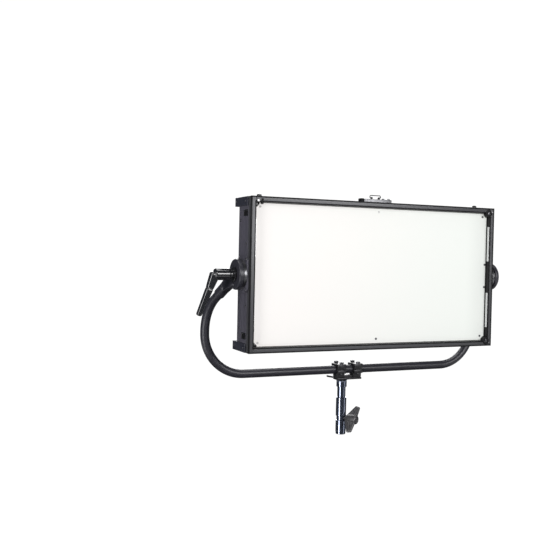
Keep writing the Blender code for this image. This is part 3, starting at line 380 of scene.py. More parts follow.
def aimed(foot, axis):
    """A matrix that stands a piece made along +Z on a foot, pointing along an axis."""
    turn = Vector((0, 0, 1)).rotation_difference(Vector(axis)).to_matrix().to_4x4()
    return Matrix.Translation(Vector(foot)) @ turn


def put_on(piece, kind, **settings):
    """Add a modifier and apply it."""
    alone(piece)
    bpy.ops.object.modifier_add(type=kind)
    step = piece.modifiers[-1]
    for key, value in settings.items():
        setattr(step, key, value)
    bpy.ops.object.modifier_apply(modifier=step.name)
    return piece


def edges_rounded(piece, width, segments=3, angle=32):
    """Round a piece's sharp edges and shade it smooth between what stays sharp."""
    put_on(piece, "BEVEL", width=width, segments=segments, limit_method="ANGLE",
           angle_limit=math.radians(angle), harden_normals=False)
    bpy.ops.object.shade_smooth_by_angle(angle=math.radians(angle))
    return piece


def cleaned(piece):
    """Weld a mesh and point its faces outwards."""
    alone(piece)
    bpy.ops.object.mode_set(mode="EDIT")
    bpy.ops.mesh.select_all(action="SELECT")
    bpy.ops.mesh.remove_doubles(threshold=0.000005)
    bpy.ops.mesh.fill_holes(sides=0)
    bpy.ops.mesh.normals_make_consistent(inside=False)
    bpy.ops.object.mode_set(mode="OBJECT")
    return piece


def turned(name, stations, foot=(0, 0, 0), axis=(0, 0, 1), sides=64, angle=28):
    """A piece drawn out of one ring through (radius, height) stations, as on a lathe."""
    bpy.ops.object.select_all(action="DESELECT")
    radius, height = stations[0]
    bpy.ops.mesh.primitive_circle_add(vertices=sides, radius=radius, location=(0, 0, 0))
    piece = bpy.context.object
    piece.name = name
    bpy.ops.object.mode_set(mode="EDIT")
    bpy.ops.mesh.select_all(action="SELECT")
    bpy.ops.transform.translate(value=(0, 0, height))
    for wide, tall in stations[1:]:
        bpy.ops.mesh.extrude_region_move(TRANSFORM_OT_translate={"value": (0, 0, tall - height)})
        bpy.ops.transform.resize(value=(wide / radius, wide / radius, 1),
                                 center_override=(0, 0, tall))
        radius, height = wide, tall
    bpy.ops.object.mode_set(mode="OBJECT")
    cleaned(piece)
    bpy.ops.object.shade_smooth_by_angle(angle=math.radians(angle))
    return settle(piece, aimed(foot, axis))


def block(name, low, high, edge=0.0, segments=3):
    """A bevelled block between two corners."""
    low, high = Vector(low), Vector(high)
    bpy.ops.object.select_all(action="DESELECT")
    bpy.ops.mesh.primitive_cube_add(size=1.0, location=(low + high) / 2)
    piece = bpy.context.object
    piece.name = name
    piece.scale = high - low
    settle(piece)
    return edges_rounded(piece, edge, segments) if edge else piece


def around(name, middle, half, edge=0.0, segments=3):
    """A bevelled block about a middle point."""
    middle, half = Vector(middle), Vector(half)
    return block(name, middle - half, middle + half, edge, segments)


def limb(name, start, end, start_size, end_size, across, edge, segments=4):
    """A tapered arm between two points, with its long edges rounded."""
    start, end = Vector(start), Vector(end)
    along = (end - start).normalized()
    side = (Vector(across) - along * along.dot(Vector(across))).normalized()
    other = along.cross(side)
    bpy.ops.object.select_all(action="DESELECT")
    bpy.ops.mesh.primitive_cube_add(size=1.0, location=(0, 0, 0))
    piece = bpy.context.object
    piece.name = name
    piece.scale = (*start_size, (end - start).length)
    settle(piece)
    bpy.ops.object.mode_set(mode="EDIT")
    bpy.ops.mesh.select_all(action="DESELECT")
    bpy.ops.object.mode_set(mode="OBJECT")
    for face in piece.data.polygons:
        face.select = face.normal.z > 0.9
    bpy.ops.object.mode_set(mode="EDIT")
    bpy.ops.transform.resize(value=(end_size[0] / start_size[0], end_size[1] / start_size[1], 1),
                             center_override=(0, 0, (end - start).length / 2))
    bpy.ops.object.mode_set(mode="OBJECT")
    edges_rounded(piece, edge, segments)
    turn = Matrix((side, other, along)).transposed().to_4x4()
    return settle(piece, Matrix.Translation((start + end) / 2) @ turn)


def prism(name, sides, radius, low, high, foot, axis, edge=0.0, turn=0.0):
    """A many-sided bar on an axis, such as a nut or a hexagon key's hole."""
    bpy.ops.object.select_all(action="DESELECT")
    bpy.ops.mesh.primitive_cylinder_add(vertices=sides, radius=radius, depth=high - low,
                                        location=(0, 0, (low + high) / 2))
    piece = bpy.context.object
    piece.name = name
    settle(piece)
    if edge:
        edges_rounded(piece, edge, 2)
    return settle(piece, aimed(foot, axis) @ Matrix.Rotation(turn, 4, "Z"))


def cut_away(piece, *tools):
    """Cut tools out of a piece and throw the tools away."""
    for tool in tools:
        put_on(piece, "BOOLEAN", object=tool, operation="DIFFERENCE", solver="EXACT")
        bpy.data.objects.remove(tool)
    return piece


def joined(name, *parts):
    """Make several parts one mesh."""
    bpy.ops.object.select_all(action="DESELECT")
    for part in parts:
        part.select_set(True)
    bpy.context.view_layer.objects.active = parts[0]
    if len(parts) > 1:
        bpy.ops.object.join()
    parts[0].name = name
    return parts[0]


def cast_in_one(name, voxel, passes, *parts):
    """Melt parts into one casting, with soft fillets where they meet."""
    piece = joined(name, *parts)
    put_on(piece, "REMESH", mode="VOXEL", voxel_size=voxel)
    put_on(piece, "SMOOTH", factor=0.5, iterations=passes)
    bpy.ops.object.shade_smooth()
    return piece


def copied(piece, name, matrix):
    """Another piece with its own mesh, moved by a matrix."""
    made = bpy.data.objects.new(name, piece.data.copy())
    bpy.context.scene.collection.objects.link(made)
    return settle(made, matrix)


def piped(name, points, radius, sides=5):
    """A bar of round wire or tube along points."""
    bpy.ops.object.select_all(action="DESELECT")
    bpy.ops.curve.primitive_nurbs_path_add()
    made = bpy.context.object
    made.name = name
    made.data.splines.clear()
    spline = made.data.splines.new("POLY")
    spline.points.add(len(points) - 1)
    for spot, point in zip(spline.points, points):
        spot.co = (*point, 1.0)
    made.data.dimensions = "3D"
    made.data.bevel_depth = radius
    made.data.bevel_resolution = sides
    made.data.use_fill_caps = True
    bpy.ops.object.convert(target="MESH")
    piece = cleaned(bpy.context.object)
    bpy.ops.object.shade_smooth_by_angle(angle=math.radians(40))
    return settle(piece)


def rounded_route(corners, radii, step):
    """Points along straight runs joined by arcs."""
    route = [Vector(corners[0])]
    for before, corner, after, radius in zip(corners, corners[1:], corners[2:], radii):
        corner = Vector(corner)
        towards = (Vector(before) - corner).normalized()
        away = (Vector(after) - corner).normalized()
        turn = math.pi - towards.angle(away)
        trim = radius * math.tan(turn / 2)
        centre = corner + (towards + away).normalized() * radius / math.cos(turn / 2)
        first = corner + towards * trim - centre
        axis = first.cross(corner + away * trim - centre).normalized()
        count = max(4, round(turn / step))
        route += [centre + Matrix.Rotation(turn * i / count, 3, axis) @ first
                  for i in range(count + 1)]
    return route + [Vector(corners[-1])]


def fitted(piece, body, slot, *replaced, finish=None):
    """Finish a piece, set it on its body, and hide the CAD nodes it stands for."""
    piece.data.materials.clear()
    piece.data.materials.append(finish or FINISHES[slot])
    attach(piece, body)
    if replaced:
        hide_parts(*replaced)
    return piece


def refined(node, body, slot, edge, segments=2, cutters=(), finish=None):
    """A welded copy of a CAD node with its edges rounded, and with any extra cuts."""
    made = bpy.data.objects.new(node + "_fine", nodes[node].data.copy())
    bpy.context.scene.collection.objects.link(made)
    cleaned(made)
    bpy.ops.object.mode_set(mode="EDIT")
    bpy.ops.mesh.select_all(action="SELECT")
    bpy.ops.mesh.dissolve_limited(angle_limit=math.radians(0.5))
    bpy.ops.object.mode_set(mode="OBJECT")
    cut_away(made, *cutters)
    edges_rounded(made, edge, segments)
    return fitted(made, body, slot, node, finish=finish)


def key_screw(name, foot, axis, radius, height):
    """A cap screw's head with a hexagon socket and a chamfered rim."""
    lip = radius * 0.14
    head = turned(name, [(radius, 0.0), (radius, height - lip), (radius - lip, height),
                         (radius * 0.62, height)], sides=36)
    hole = prism("key_hole", 6, radius * 0.52, height * 0.35, height * 1.4, (0, 0, 0), (0, 0, 1))
    cut_away(head, hole)
    edges_rounded(head, radius * 0.04, 2, 40)
    return settle(head, aimed(foot, axis))


def screw_set(name, places, axis, radius, height, finish=DARK_STEEL):
    """Identical key screws on the lamp, as one piece."""
    heads = [key_screw("head", place, axis, radius, height) for place in places]
    return fitted(joined(name, *heads), "lamp", "steel", finish=finish)


# ------------------------------------------------------------------ spigot and bracket
def make_spigot():
    """The chromed spigot: flared head, collar, waist, grip groove, foot ring and pin socket."""
    head, body, neck, grip, bore = 0.0200, 0.0140, 0.0112, 0.0119, 0.0081
    top, edge, head_rim, flare = 0.154, 0.0006, 0.0030, 0.0080
    stations = [(head - edge, top), (head, top - edge), (head, top - head_rim)]
    for i in range(9):
        angle = math.radians(90 * i / 8)
        stations.append((head - (head - body) * math.sin(angle),
                         top - head_rim - flare * (1 - math.cos(angle))))
    stations += [(body, 0.1296), (body - edge, 0.1290), (neck + edge, 0.1290), (neck, 0.1284),
                 (neck, 0.1006), (neck + edge, 0.1000), (body - edge, 0.1000), (body, 0.0994),
                 (body, 0.0500), (0.0136, 0.0495), (0.0128, 0.0493), (grip, 0.0487),
                 (grip, 0.0388), (0.0124, 0.0384), (0.0136, 0.0380), (body, 0.0375),
                 (body, 0.0066), (body - edge, 0.0060), (body - edge, 0.0010), (0.0126, 0.0),
                 (0.0088, 0.0), (bore, 0.0008), (bore, 0.0700), (0.0020, 0.0735)]
    spigot = turned("spigot_turned", stations, sides=96, angle=24)
    hole = prism("screw_hole", 32, 0.0044, 0.0095, 0.0180, WING_FOOT,
                 (math.cos(WING_BEARING), math.sin(WING_BEARING), 0))
    return fitted(cut_away(spigot, hole), "stand_mount", "chrome", "spigot")


def make_wing_knob():
    """The die-cast wing knob: a ribbed core with two broad wings, on a steel screw."""
    foot, crown = 0.0158, 0.0500
    axis = Vector((math.cos(WING_BEARING), math.sin(WING_BEARING), 0))
    stand = Matrix.Translation(WING_FOOT) @ Matrix.Rotation(WING_BEARING, 4, "Z") @ (
        Matrix.Rotation(math.pi / 2, 4, "Y"))
    core = turned("core", [(0.0088, foot), (0.0096, foot + 0.004), (0.0112, foot + 0.010),
                           (0.0125, foot + 0.020), (0.0125, crown - 0.003),
                           (0.0104, crown - 0.0008), (0.0070, crown), (0.0062, crown - 0.0012),
                           (0.0010, crown - 0.0012)])
    roll = math.radians(-40)
    parts = [core]
    for side in (-1, 1):
        out = Vector((side * math.cos(roll), side * math.sin(roll), 0))
        flat = Vector((-math.sin(roll), math.cos(roll), 0))
        root = out * 0.002 + Vector((0, 0, foot + 0.0150))
        tip = out * 0.0395 + Vector((0, 0, foot + 0.0235))
        parts.append(limb("wing", root, tip, (0.0094, 0.0330), (0.0066, 0.0135), flat, 0.0026))
        for rib in (-1, 1):
            lift = Vector((0, 0, rib * 0.0055))
            parts.append(limb("rib", root + lift + out * 0.006, tip + lift * 0.3 - out * 0.004,
                              (0.0112, 0.0030), (0.0082, 0.0022), flat, 0.0009))
    for i in range(10):
        angle = 2 * math.pi * i / 10
        at = Vector((0.0118 * math.cos(angle), 0.0118 * math.sin(angle), 0))
        parts.append(limb("flute", at * 0.97 + Vector((0, 0, foot + 0.018)),
                          at + Vector((0, 0, crown - 0.003)), (0.0016, 0.0016),
                          (0.0016, 0.0016), (1, 0, 0), 0.0004))
    knob = cast_in_one("wing_knob", 0.00055, 3, *parts)
    fitted(settle(knob, stand), "wing", "die_cast", "wing_screw")
    screw = turned("wing_thread", [(0.0034, 0.0091), (0.0040, 0.0100), (0.0040, foot + 0.002)],
                   WING_FOOT, axis, 32)
    fitted(screw, "wing", "steel", finish=DARK_STEEL)


def make_bracket():
    """The plate, the two saddle clamps and their four screws."""
    refined("base_plate", "stand_mount", "die_cast", 0.0008, finish=CASTING)
    web = block("plate_rib", (-0.0125, -0.0375, 0.1585), (0.0125, -0.0200, 0.1660), 0.0014)
    fitted(web, "stand_mount", "die_cast", finish=CASTING)
    for label in ("left", "right"):
        refined(f"clamp_base_{label}", "stand_mount", "die_cast", 0.0009, finish=CASTING)
        refined(f"clamp_cap_{label}", "stand_mount", "die_cast", 0.0018, 3, finish=CASTING)
        for end in ("front", "rear"):
            low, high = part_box(f"clamp_screw_{label}_{end}")
            middle = (low + high) / 2
            head = key_screw(f"clamp_bolt_{label}_{end}", (0, 0, high.z - 0.0045), (0, 0, 1),
                             0.0058, 0.0050)
            shank = turned("shank", [(0.0022, low.z), (0.0025, low.z + 0.0005),
                                     (0.0025, high.z - 0.004)], sides=24)
            bolt = joined(f"clamp_bolt_{label}_{end}", head, shank)
            settle(bolt, Matrix.Translation((middle.x, middle.y, 0)))
            fitted(bolt, "stand_mount", "steel", f"clamp_screw_{label}_{end}", finish=DARK_STEEL)


# ------------------------------------------------------------------ yoke
def arm_point(side, share):
    """A point on the straight arm from the hub (0) to the kink (1)."""
    root = PIVOT + Vector((side * (HUB_IN + HUB_OUT) / 2, 0, 0))
    return root.lerp(Vector((side * TUBE_X, TUBE_Y, KINK_Z)), share)


def make_yoke():
    """The bent tube, and at each end a cast hub whose arm narrows into the tube's socket."""
    corners = [arm_point(-1, TUBE_START), arm_point(-1, 1), (-TUBE_X, TUBE_Y, TUBE_Z),
               (TUBE_X, TUBE_Y, TUBE_Z), arm_point(1, 1), arm_point(1, TUBE_START)]
    route = rounded_route(corners, [BEND_RADIUS] * 4, math.radians(2.5))
    fitted(piped("yoke_tube_bent", route, TUBE_RADIUS, 10), "stand_mount", "tube_paint",
           "yoke_tube")
    thick = HUB_OUT - HUB_IN
    for label, side in (("left", -1), ("right", 1)):
        hub = turned("hub", [(0.0350, 0.0), (0.0365, 0.0012), (0.0365, thick - 0.0018),
                             (0.0347, thick), (0.0240, thick), (0.0230, thick - 0.0008),
                             (0.0160, thick - 0.0008), (0.0150, thick), (0.0020, thick)],
                     PIVOT + Vector((side * HUB_IN, 0, 0)), (side, 0, 0), 72)
        web = limb("web", arm_point(side, 0.10), arm_point(side, TUBE_START), (0.0112, 0.0430),
                   (0.0215, 0.0225), (1, 0, 0), 0.0046, 5)
        sleeve_axis = arm_point(side, 1) - arm_point(side, 0)
        long = sleeve_axis.length
        sleeve = turned("sleeve", [(0.0122, 0.33 * long), (0.0138, 0.36 * long),
                                   (0.0138, 0.535 * long), (0.0130, 0.55 * long),
                                   (0.0115, 0.55 * long)],
                        arm_point(side, 0), sleeve_axis, 48)
        end = cast_in_one(f"yoke_casting_{label}", 0.0010, 4, hub, web, sleeve)
        fitted(end, "stand_mount", "tube_paint", f"yoke_end_{label}")


# ------------------------------------------------------------------ levers, discs and bolts
def make_lever():
    """The clamping lever: a stepped hub with an end button, and a flared flat handle."""
    flange = 0.0055
    out = Vector((-1, 0, 0))
    foot = PIVOT + out * (HUB_OUT + flange + 2 * GAP)
    hub = turned("hub", [(0.0118, 0.0), (0.0126, 0.0010), (0.0126, 0.0060), (0.0138, 0.0085),
                         (0.0140, 0.0110), (0.0140, 0.0400), (0.0126, 0.0427),
                         (0.0078, 0.0430), (0.0010, 0.0430)], foot, out, 64)
    root = foot + Vector((-0.0405, 0, 0.0035))
    knee = foot + Vector((-0.0405 - 0.0150, 0, -0.0360))
    tip = foot + Vector((-0.0415 - 0.0385, 0, -0.0965))
    upper = limb("upper", root, knee, (0.0215, 0.0235), (0.0185, 0.0165), (0, 1, 0), 0.0060, 5)
    lower = limb("lower", knee - (tip - knee) * 0.06, tip, (0.0185, 0.0165), (0.0160, 0.0118),
                 (0, 1, 0), 0.0045, 5)
    fitted(cast_in_one("lever_moulding", 0.0007, 4, hub, upper, lower), "lever_left",
           "black_plastic", "lever_left", finish=LEVER_GLOSS)
    button = turned("lever_button", [(0.0058, 0.0420), (0.0058, 0.0434), (0.0050, 0.0440),
                                     (0.0010, 0.0441)], foot, out, 40)
    fitted(button, "lever_left", "steel", finish=DARK_STEEL)
    insert = turned("lever_insert_turned",
                    [(0.0108, 0.0), (0.0115, 0.0006), (0.0115, flange - 0.0006), (0.0108, flange),
                     (0.0080, flange), (0.0080, 0.0170), (0.0074, 0.0175), (0.0010, 0.0175)],
                    PIVOT + out * (HUB_OUT + GAP), out, 48)
    fitted(insert, "insert_left", "steel", "lever_insert_left", finish=DARK_STEEL)
    washer = turned("lever_washer", [(0.0118, 0.0), (0.0165, 0.0), (0.0172, 0.0008),
                                     (0.0172, 0.0026), (0.0160, 0.0034), (0.0118, 0.0034),
                                     (0.0118, 0.0)], PIVOT + out * HUB_OUT, out, 56)
    fitted(washer, "stand_mount", "black_plastic")


def make_pivots():
    """Friction discs with a sharp working groove, pivot bolts, plate screws and the nut."""
    disc_thick = 0.0078
    plate_face = HALF_W + GAP + 0.0035
    for label, side in (("left", -1), ("right", 1)):
        out = Vector((side, 0, 0))
        disc = turned(f"friction_disc_{label}_turned",
                      [(0.0325, 0.0), (0.0335, 0.0008), (0.0335, 0.0030), (0.0327, 0.0034),
                       (0.0327, 0.0042), (0.0335, 0.0046), (0.0335, 0.0068), (0.0325, disc_thick),
                       (0.0053, disc_thick), (0.0053, 0.0), (0.0325, 0.0)],
                      PIVOT + out * (HUB_IN - GAP - disc_thick), out, 80)
        fitted(disc, "lamp", "die_cast", f"friction_disc_{label}", finish=DISC_STEEL)
        low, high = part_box(f"pivot_bolt_{label}")
        inner, outer = (high.x, low.x) if side < 0 else (low.x, high.x)
        length = abs(outer - inner)
        bolt = turned(f"pivot_bolt_{label}_turned",
                      [(0.0095, 0.0), (0.0100, 0.0005), (0.0100, 0.0040), (0.0095, 0.0045),
                       (0.0050, 0.0045), (0.0050, length - 0.0008), (0.0042, length)],
                      (inner, PIVOT.y, PIVOT.z), out, 40)
        fitted(bolt, "lamp", "steel", f"pivot_bolt_{label}", finish=DARK_STEEL)
        refined(f"pivot_plate_{label}", "lamp", "housing", 0.0008)
        places = [PIVOT + Vector((side * plate_face, y, z))
                  for y in (-0.0235, 0.0235) for z in (-0.0360, 0.0360)]
        screw_set(f"pivot_plate_{label}_screws", places, out, 0.0034, 0.0018)
    foot = PIVOT + Vector((HUB_OUT + GAP, 0, 0))
    nut = prism("nut", 6, 0.0125, 0.0, 0.0062, foot, (1, 0, 0), 0.0007, math.radians(15))
    dome = turned("dome", [(0.0092, 0.0055), (0.0090, 0.0068), (0.0078, 0.0076),
                           (0.0050, 0.0080), (0.0010, 0.0080)], foot, (1, 0, 0), 48)
    fitted(joined("pivot_nut_capped", nut, dome), "lamp", "steel", "pivot_nut_right",
           finish=DARK_STEEL)


# ------------------------------------------------------------------ lamp housing
def make_peg_opening(label, side, z):
    """One opening for an accessory's peg: a raised bezel, its dark pad and a round bush."""
    name = f"{label}_{'low' if z < 0 else 'high'}"
    middle = PIVOT + Vector((side * HALF_W, -0.0060, z))
    outer = around("bezel", middle, (0.0008, 0.0130, 0.0075), 0.0006, 2)
    hole = around("hole", middle, (0.0030, 0.0110, 0.0055), 0.0010, 2)
    fitted(joined(f"peg_bezel_{name}", cut_away(outer, hole)), "lamp", "black_plastic")
    pad = around(f"peg_pad_{name}", middle - Vector((0.0002, 0, 0)), (0.0004, 0.0112, 0.0057))
    fitted(pad, "lamp", "black_plastic", finish=GASKET)
    bush = turned(f"peg_bush_{name}",
                  [(0.0047, -0.0022), (0.0047, 0.0004), (0.0062, 0.0004), (0.0064, 0.0002),
                   (0.0064, 0.00005), (0.0049, 0.00005), (0.0049, -0.0022), (0.0047, -0.0022)],
                  middle, (side, 0, 0), 40)
    fitted(bush, "lamp", "black_plastic")


def make_housing():
    """The painted shell: side plates, folded profiles with end caps, and the front rim."""
    cap_face = HALF_W + 0.0022
    for label, side in (("left", -1), ("right", 1)):
        refined(f"side_plate_{label}", "lamp", "housing", 0.0005)
        refined(f"rim_{label}", "lamp", "rim", 0.0012, 3)
        places = [PIVOT + Vector((side * HALF_W, y, z))
                  for y, z in ((-0.013, 0.074), (-0.012, -0.074), (0.024, 0.128), (0.024, -0.128))]
        screw_set(f"side_screws_{label}", places, (side, 0, 0), 0.0030, 0.0016)
        for z in (-0.145, 0.145):
            make_peg_opening(label, side, z)
    for label, rise in (("top", 0.1727), ("bottom", -0.1727)):
        refined(f"profile_{label}", "lamp", "housing", 0.0006)
        refined(f"rim_{label}", "lamp", "rim", 0.0012, 3)
        for wide, side in (("left", -1), ("right", 1)):
            refined(f"end_cap_{label}_{wide}", "lamp", "housing", 0.0006, finish=CAP_NAVY)
            places = [PIVOT + Vector((side * cap_face, y, rise)) for y in (-0.008, 0.050)]
            screw_set(f"end_cap_screws_{label}_{wide}", places, (side, 0, 0), 0.0030, 0.0016)


def frame_of(name, half_x, half_z, wide, low_y, high_y, edge):
    """Four strips that run round the front, inside an outline."""
    strips = []
    for side in (-1, 1):
        low, high = sorted((side * half_x, side * (half_x - wide)))
        strips.append(block("strip", (low, low_y, PIVOT.z - half_z),
                            (high, high_y, PIVOT.z + half_z), edge, 2))
        low, high = sorted((side * half_z, side * (half_z - wide)))
        strips.append(block("strip", (-half_x, low_y, PIVOT.z + low),
                            (half_x, high_y, PIVOT.z + high), edge, 2))
    return joined(name, *strips)


def make_gasket_and_shade_strips():
    """The gasket round the panel, and black strips on both edges of the rim's face: painted shade
    where the rim's chamfers read dark.
    """
    for name, half_x, half_z, wide, low, high, edge in (
            ("panel_gasket", 0.3367, 0.1702, 0.0016, 0.0116, 0.0132, 0.0004),
            # black strips at the rim face's edges: painted shade of its chamfers
            ("rim_outer_shade_strip", 0.3502, 0.1837, 0.0034, -0.0006, 0.0040, 0.0007),
            ("rim_inner_shade_strip", 0.3398, 0.1733, 0.0030, -0.0005, 0.0020, 0.0005)):
        trim = frame_of(name, half_x, half_z, wide, RIM_FACE + low, RIM_FACE + high, edge)
        fitted(trim, "lamp", "black_plastic", finish=GASKET)


def make_corner(tall, sz, wide, sx):
    """A corner clip; round caps on the right and a catch at the top left hold it."""
    name = f"{tall}_{wide}"
    refined(f"corner_{name}", "lamp", "black_plastic", 0.0007)
    if name == "bottom_left":
        return
    if sx > 0:
        middle = Vector((0.3325, RIM_FACE, PIVOT.z + sz * 0.1700))
        cap = turned(f"corner_cap_{name}",
                     [(0.0100, -0.0090), (0.0100, 0.0012), (0.0092, 0.0020),
                      (0.0070, 0.0023), (0.0010, 0.0023)], sides=48)
        cut_away(cap, prism("hollow", 3, 0.0062, 0.0014, 0.0060, (0, 0, 0), (0, 0, 1)))
        edges_rounded(cap, 0.0003, 2, 40)
        settle(cap, aimed(middle, (0, -1, 0)))
        plate = prism(f"corner_plate_{name}", 3, 0.0056, 0.0010, 0.0019, middle, (0, -1, 0), 0.0002)
        fitted(plate, "lamp", "steel", finish=DARK_STEEL)
    else:
        cap = block(f"corner_catch_{name}", (-0.3245, RIM_FACE - 0.0016, PIVOT.z + 0.1650),
                    (-0.3195, RIM_FACE + 0.0060, PIVOT.z + 0.1785), 0.0009)
    fitted(cap, "lamp", "black_plastic", finish=GASKET)
    place = (0.3412 if sx > 0 else -0.3325, RIM_FACE - 0.0004, PIVOT.z + sz * 0.1735)
    screw = key_screw(f"corner_screw_{name}", place, (0, -1, 0), 0.0027, 0.0016)
    fitted(screw, "lamp", "steel")


def make_rim_details():
    """The gasket and the rim's painted shade strips, corners, the screws in the panel's edge, and
    two studs on the top rail.
    """
    make_gasket_and_shade_strips()
    for tall, sz in (("top", 1), ("bottom", -1)):
        for wide, sx in (("left", -1), ("right", 1)):
            make_corner(tall, sz, wide, sx)
    for name, spots, finish in (
            ("panel_screws", ((0.322, 0.160), (0.322, -0.158), (0.0, -0.158), (0.3325, 0.033),
                              (0.3325, -0.027)), DARK_STEEL),
            ("painted_panel_screws", ((-0.322, 0.160), (-0.322, -0.160), (0.0, 0.160)),
             FINISHES["white_reflector"])):
        places = [(x, PANEL_FACE, PIVOT.z + z) for x, z in spots]
        screw_set(name, places, (0, -1, 0), 0.0028, 0.0014, finish)
    studs = [turned("stud", [(0.0058, 0.0), (0.0058, 0.0026), (0.0050, 0.0044),
                             (0.0030, 0.0052), (0.0010, 0.0054)],
                    (x, -0.1765, PIVOT.z + HALF_H), (0, 0, 1), 32)
             for x in (-0.3270, 0.2900)]
    fitted(joined("rim_studs", *studs), "lamp", "black_plastic")


def make_latch():
    """The latch on the top: grooved bright bar, black end block, two studs and the ring."""
    low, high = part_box("latch_bar")
    top = PIVOT.z + HALF_H + GAP + 0.0095
    axis = Vector((0.0035, PIVOT.y, top + 0.0030))
    bar = block("latch_bar_milled", (low.x, low.y, low.z), (high.x, high.y, top), 0.0012, 3)
    lugs = [around("lug", axis + Vector((x, 0, -0.0015)), (0.0015, 0.0030, 0.0045), 0.0009)
            for x in (-0.0107, 0.0107)]
    bore = prism("bore", 24, 0.0013, -0.016, 0.016, axis, (1, 0, 0))
    for lug in lugs:
        cut_away(lug, copied(bore, "lug_bore", Matrix.Identity(4)))
    bpy.data.objects.remove(bore)
    slots = [around("slot", (x, PIVOT.y, top + 0.0004), (0.0080, 0.0015, 0.0016), 0.0007)
             for x in (-0.0210, 0.0275)]
    cut_away(bar, *slots)
    fitted(bar, "lamp", "aluminium", "latch_bar", finish=BAR_ALUMINIUM)
    fitted(joined("ring_lugs", *lugs), "lamp", "aluminium", finish=BLACK_STEEL)
    refined("latch_block", "lamp", "black_plastic", 0.0012, 3, finish=GASKET)
    studs = [turned("stud", [(0.0032, -0.001), (0.0032, 0.0022), (0.0024, 0.0032),
                             (0.0010, 0.0034)], (x, PIVOT.y, top), (0, 0, 1), 32)
             for x in (0.0270, 0.0430)]
    fitted(joined("latch_studs", *studs), "lamp", "steel", finish=DARK_STEEL)
    half, tall, foot, bend, wire = 0.0155, 0.0068, 0.0075, 0.0030, 0.0011
    corners = [axis + Vector((x, 0, z)) for x, z in
               ((-foot, 0), (-half, 0), (-half, tall), (half, tall), (half, 0), (foot, 0))]
    ring = piped("pull_ring_bent", rounded_route(corners, [bend] * 4, math.radians(12)), wire, 6)
    fitted(ring, "ring", "steel", "pull_ring", finish=BLACK_STEEL)


# ------------------------------------------------------------------ rear
def make_rear_case(rear):
    """Heat sink, and the electronics case with its vents and screws."""
    refined("heat_sink", "lamp", "black_anodised", 0.0004, 1)
    vents = [around("vent", (-0.080 + 0.008 * i, rear, PIVOT.z + 0.030), (0.0014, 0.004, 0.012),
                    0.0012) for i in range(21)]
    refined("driver_case", "lamp", "housing", 0.0012, 3, vents)
    places = [(x, rear, PIVOT.z + z) for x in (-0.117, 0.117) for z in (-0.047, 0.047)]
    screw_set("case_screws", places, (0, 1, 0), 0.0032, 0.0018)


def make_dimmer(rear):
    """The fluted dimmer knob with its pointer, and the scale printed round it as ticks."""
    foot = Vector((-0.085, rear + 0.0006, CONTROL_Z))
    knob = turned("knob", [(0.0090, 0.0), (0.0095, 0.0006), (0.0093, 0.0120),
                           (0.0084, 0.0138), (0.0070, 0.0140), (0.0064, 0.0134),
                           (0.0010, 0.0134)], sides=72)
    for i in range(18):
        angle = 2 * math.pi * i / 18
        flute = prism("flute", 12, 0.0009, 0.0020, 0.0200,
                      (0.0097 * math.cos(angle), 0.0097 * math.sin(angle), 0), (0, 0, 1))
        cut_away(knob, flute)
    bpy.ops.object.shade_smooth_by_angle(angle=math.radians(30))
    settle(knob, aimed(foot, (0, 1, 0)))
    shaft = turned("shaft", [(0.0030, -0.0100), (0.0030, 0.001)], foot, (0, 1, 0), 24)
    fitted(joined("dimmer_knob_fluted", knob, shaft), "dimmer", "black_plastic", "dimmer_knob")
    pointer = block("dimmer_pointer", foot + Vector((-0.0005, 0.0136, 0.0025)),
                    foot + Vector((0.0005, 0.0143, 0.0078)), 0.0002, 2)
    fitted(pointer, "dimmer", "white_reflector")
    ticks = []
    for i in range(11):
        angle = math.radians(240 - 30 * i)
        tick = block("tick", (0.0125, -0.0003, 0.0), (0.0150, 0.0003, 0.00012), 0.00004, 1)
        ticks.append(settle(tick, Matrix.Translation((foot.x, rear, foot.z)) @ (
            Matrix.Rotation(-math.pi / 2, 4, "X") @ Matrix.Rotation(angle, 4, "Z"))))
    fitted(joined("dimmer_scale", *ticks), "lamp", "white_reflector")


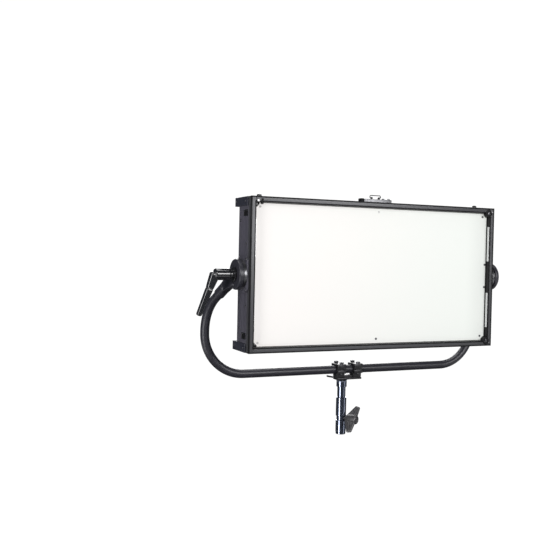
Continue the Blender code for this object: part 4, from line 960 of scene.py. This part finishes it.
def make_socket(name, x, rear):
    """A round panel socket with three pins in its well."""
    floor, pin_ring = -0.0070, 0.0042
    shell = turned(name + "_turned",
                   [(0.0117, -0.0090), (0.0120, -0.0088), (0.0120, 0.0003), (0.0140, 0.0003),
                    (0.0140, 0.0024), (0.0134, 0.0030), (0.0088, 0.0030), (0.0081, 0.0022),
                    (0.0081, floor), (0.0010, floor)], (x, rear, CONTROL_Z), (0, 1, 0), 56)
    fitted(shell, "lamp", "black_plastic", name)
    pins = []
    for angle in (math.radians(90), math.radians(210), math.radians(330)):
        foot = (x + pin_ring * math.cos(angle), rear, CONTROL_Z + pin_ring * math.sin(angle))
        pins.append(turned("pin", [(0.0008, floor - 0.0005), (0.0008, -0.0016),
                                   (0.0004, -0.0012)], foot, (0, 1, 0), 16))
    fitted(joined(name + "_pins", *pins), "lamp", "aluminium")


def make_rear():
    """Everything on the lamp's rear."""
    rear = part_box("driver_case")[1].y
    make_rear_case(rear)
    make_dimmer(rear)
    refined("power_switch", "switch", "switch_rubber", 0.0005)
    for name, x in (("power_inlet", 0.006), ("data_in", 0.048), ("data_out", 0.090)):
        make_socket(name, x, rear)


# ------------------------------------------------------------------ everything
set_camera()
set_studio()
bpy.ops.object.select_all(action="DESELECT")
for entry in frame["record"]["subparts"]:
    mesh = nodes[entry["node"]].data
    mesh.materials.clear()
    mesh.materials.append(FINISHES[entry["material_slot"]])

make_spigot()
make_wing_knob()
make_bracket()
make_yoke()
make_lever()
make_pivots()
make_housing()
make_rim_details()
make_latch()
make_rear()

bpy.ops.object.select_all(action="DESELECT")
bpy.ops.mesh.primitive_plane_add(size=5.0, location=(0, 0, -0.90))
floor = bpy.context.object
floor.name = "floor"
pale = Finish("pale_floor", (0.72, 0.72, 0.72), 0.85, Emission_Strength=0.80)
pale.feed("Emission Color", (1.0, 1.0, 1.0, 1.0))
floor.data.materials.append(pale.material)
bpy.ops.mesh.primitive_plane_add(size=2.6, location=(0, 0, -0.50))
card = bpy.context.object
card.name = "dark_card"
card.visible_camera = False
card.data.materials.append(Finish("card_black", (0.03, 0.03, 0.03), 0.9).material)
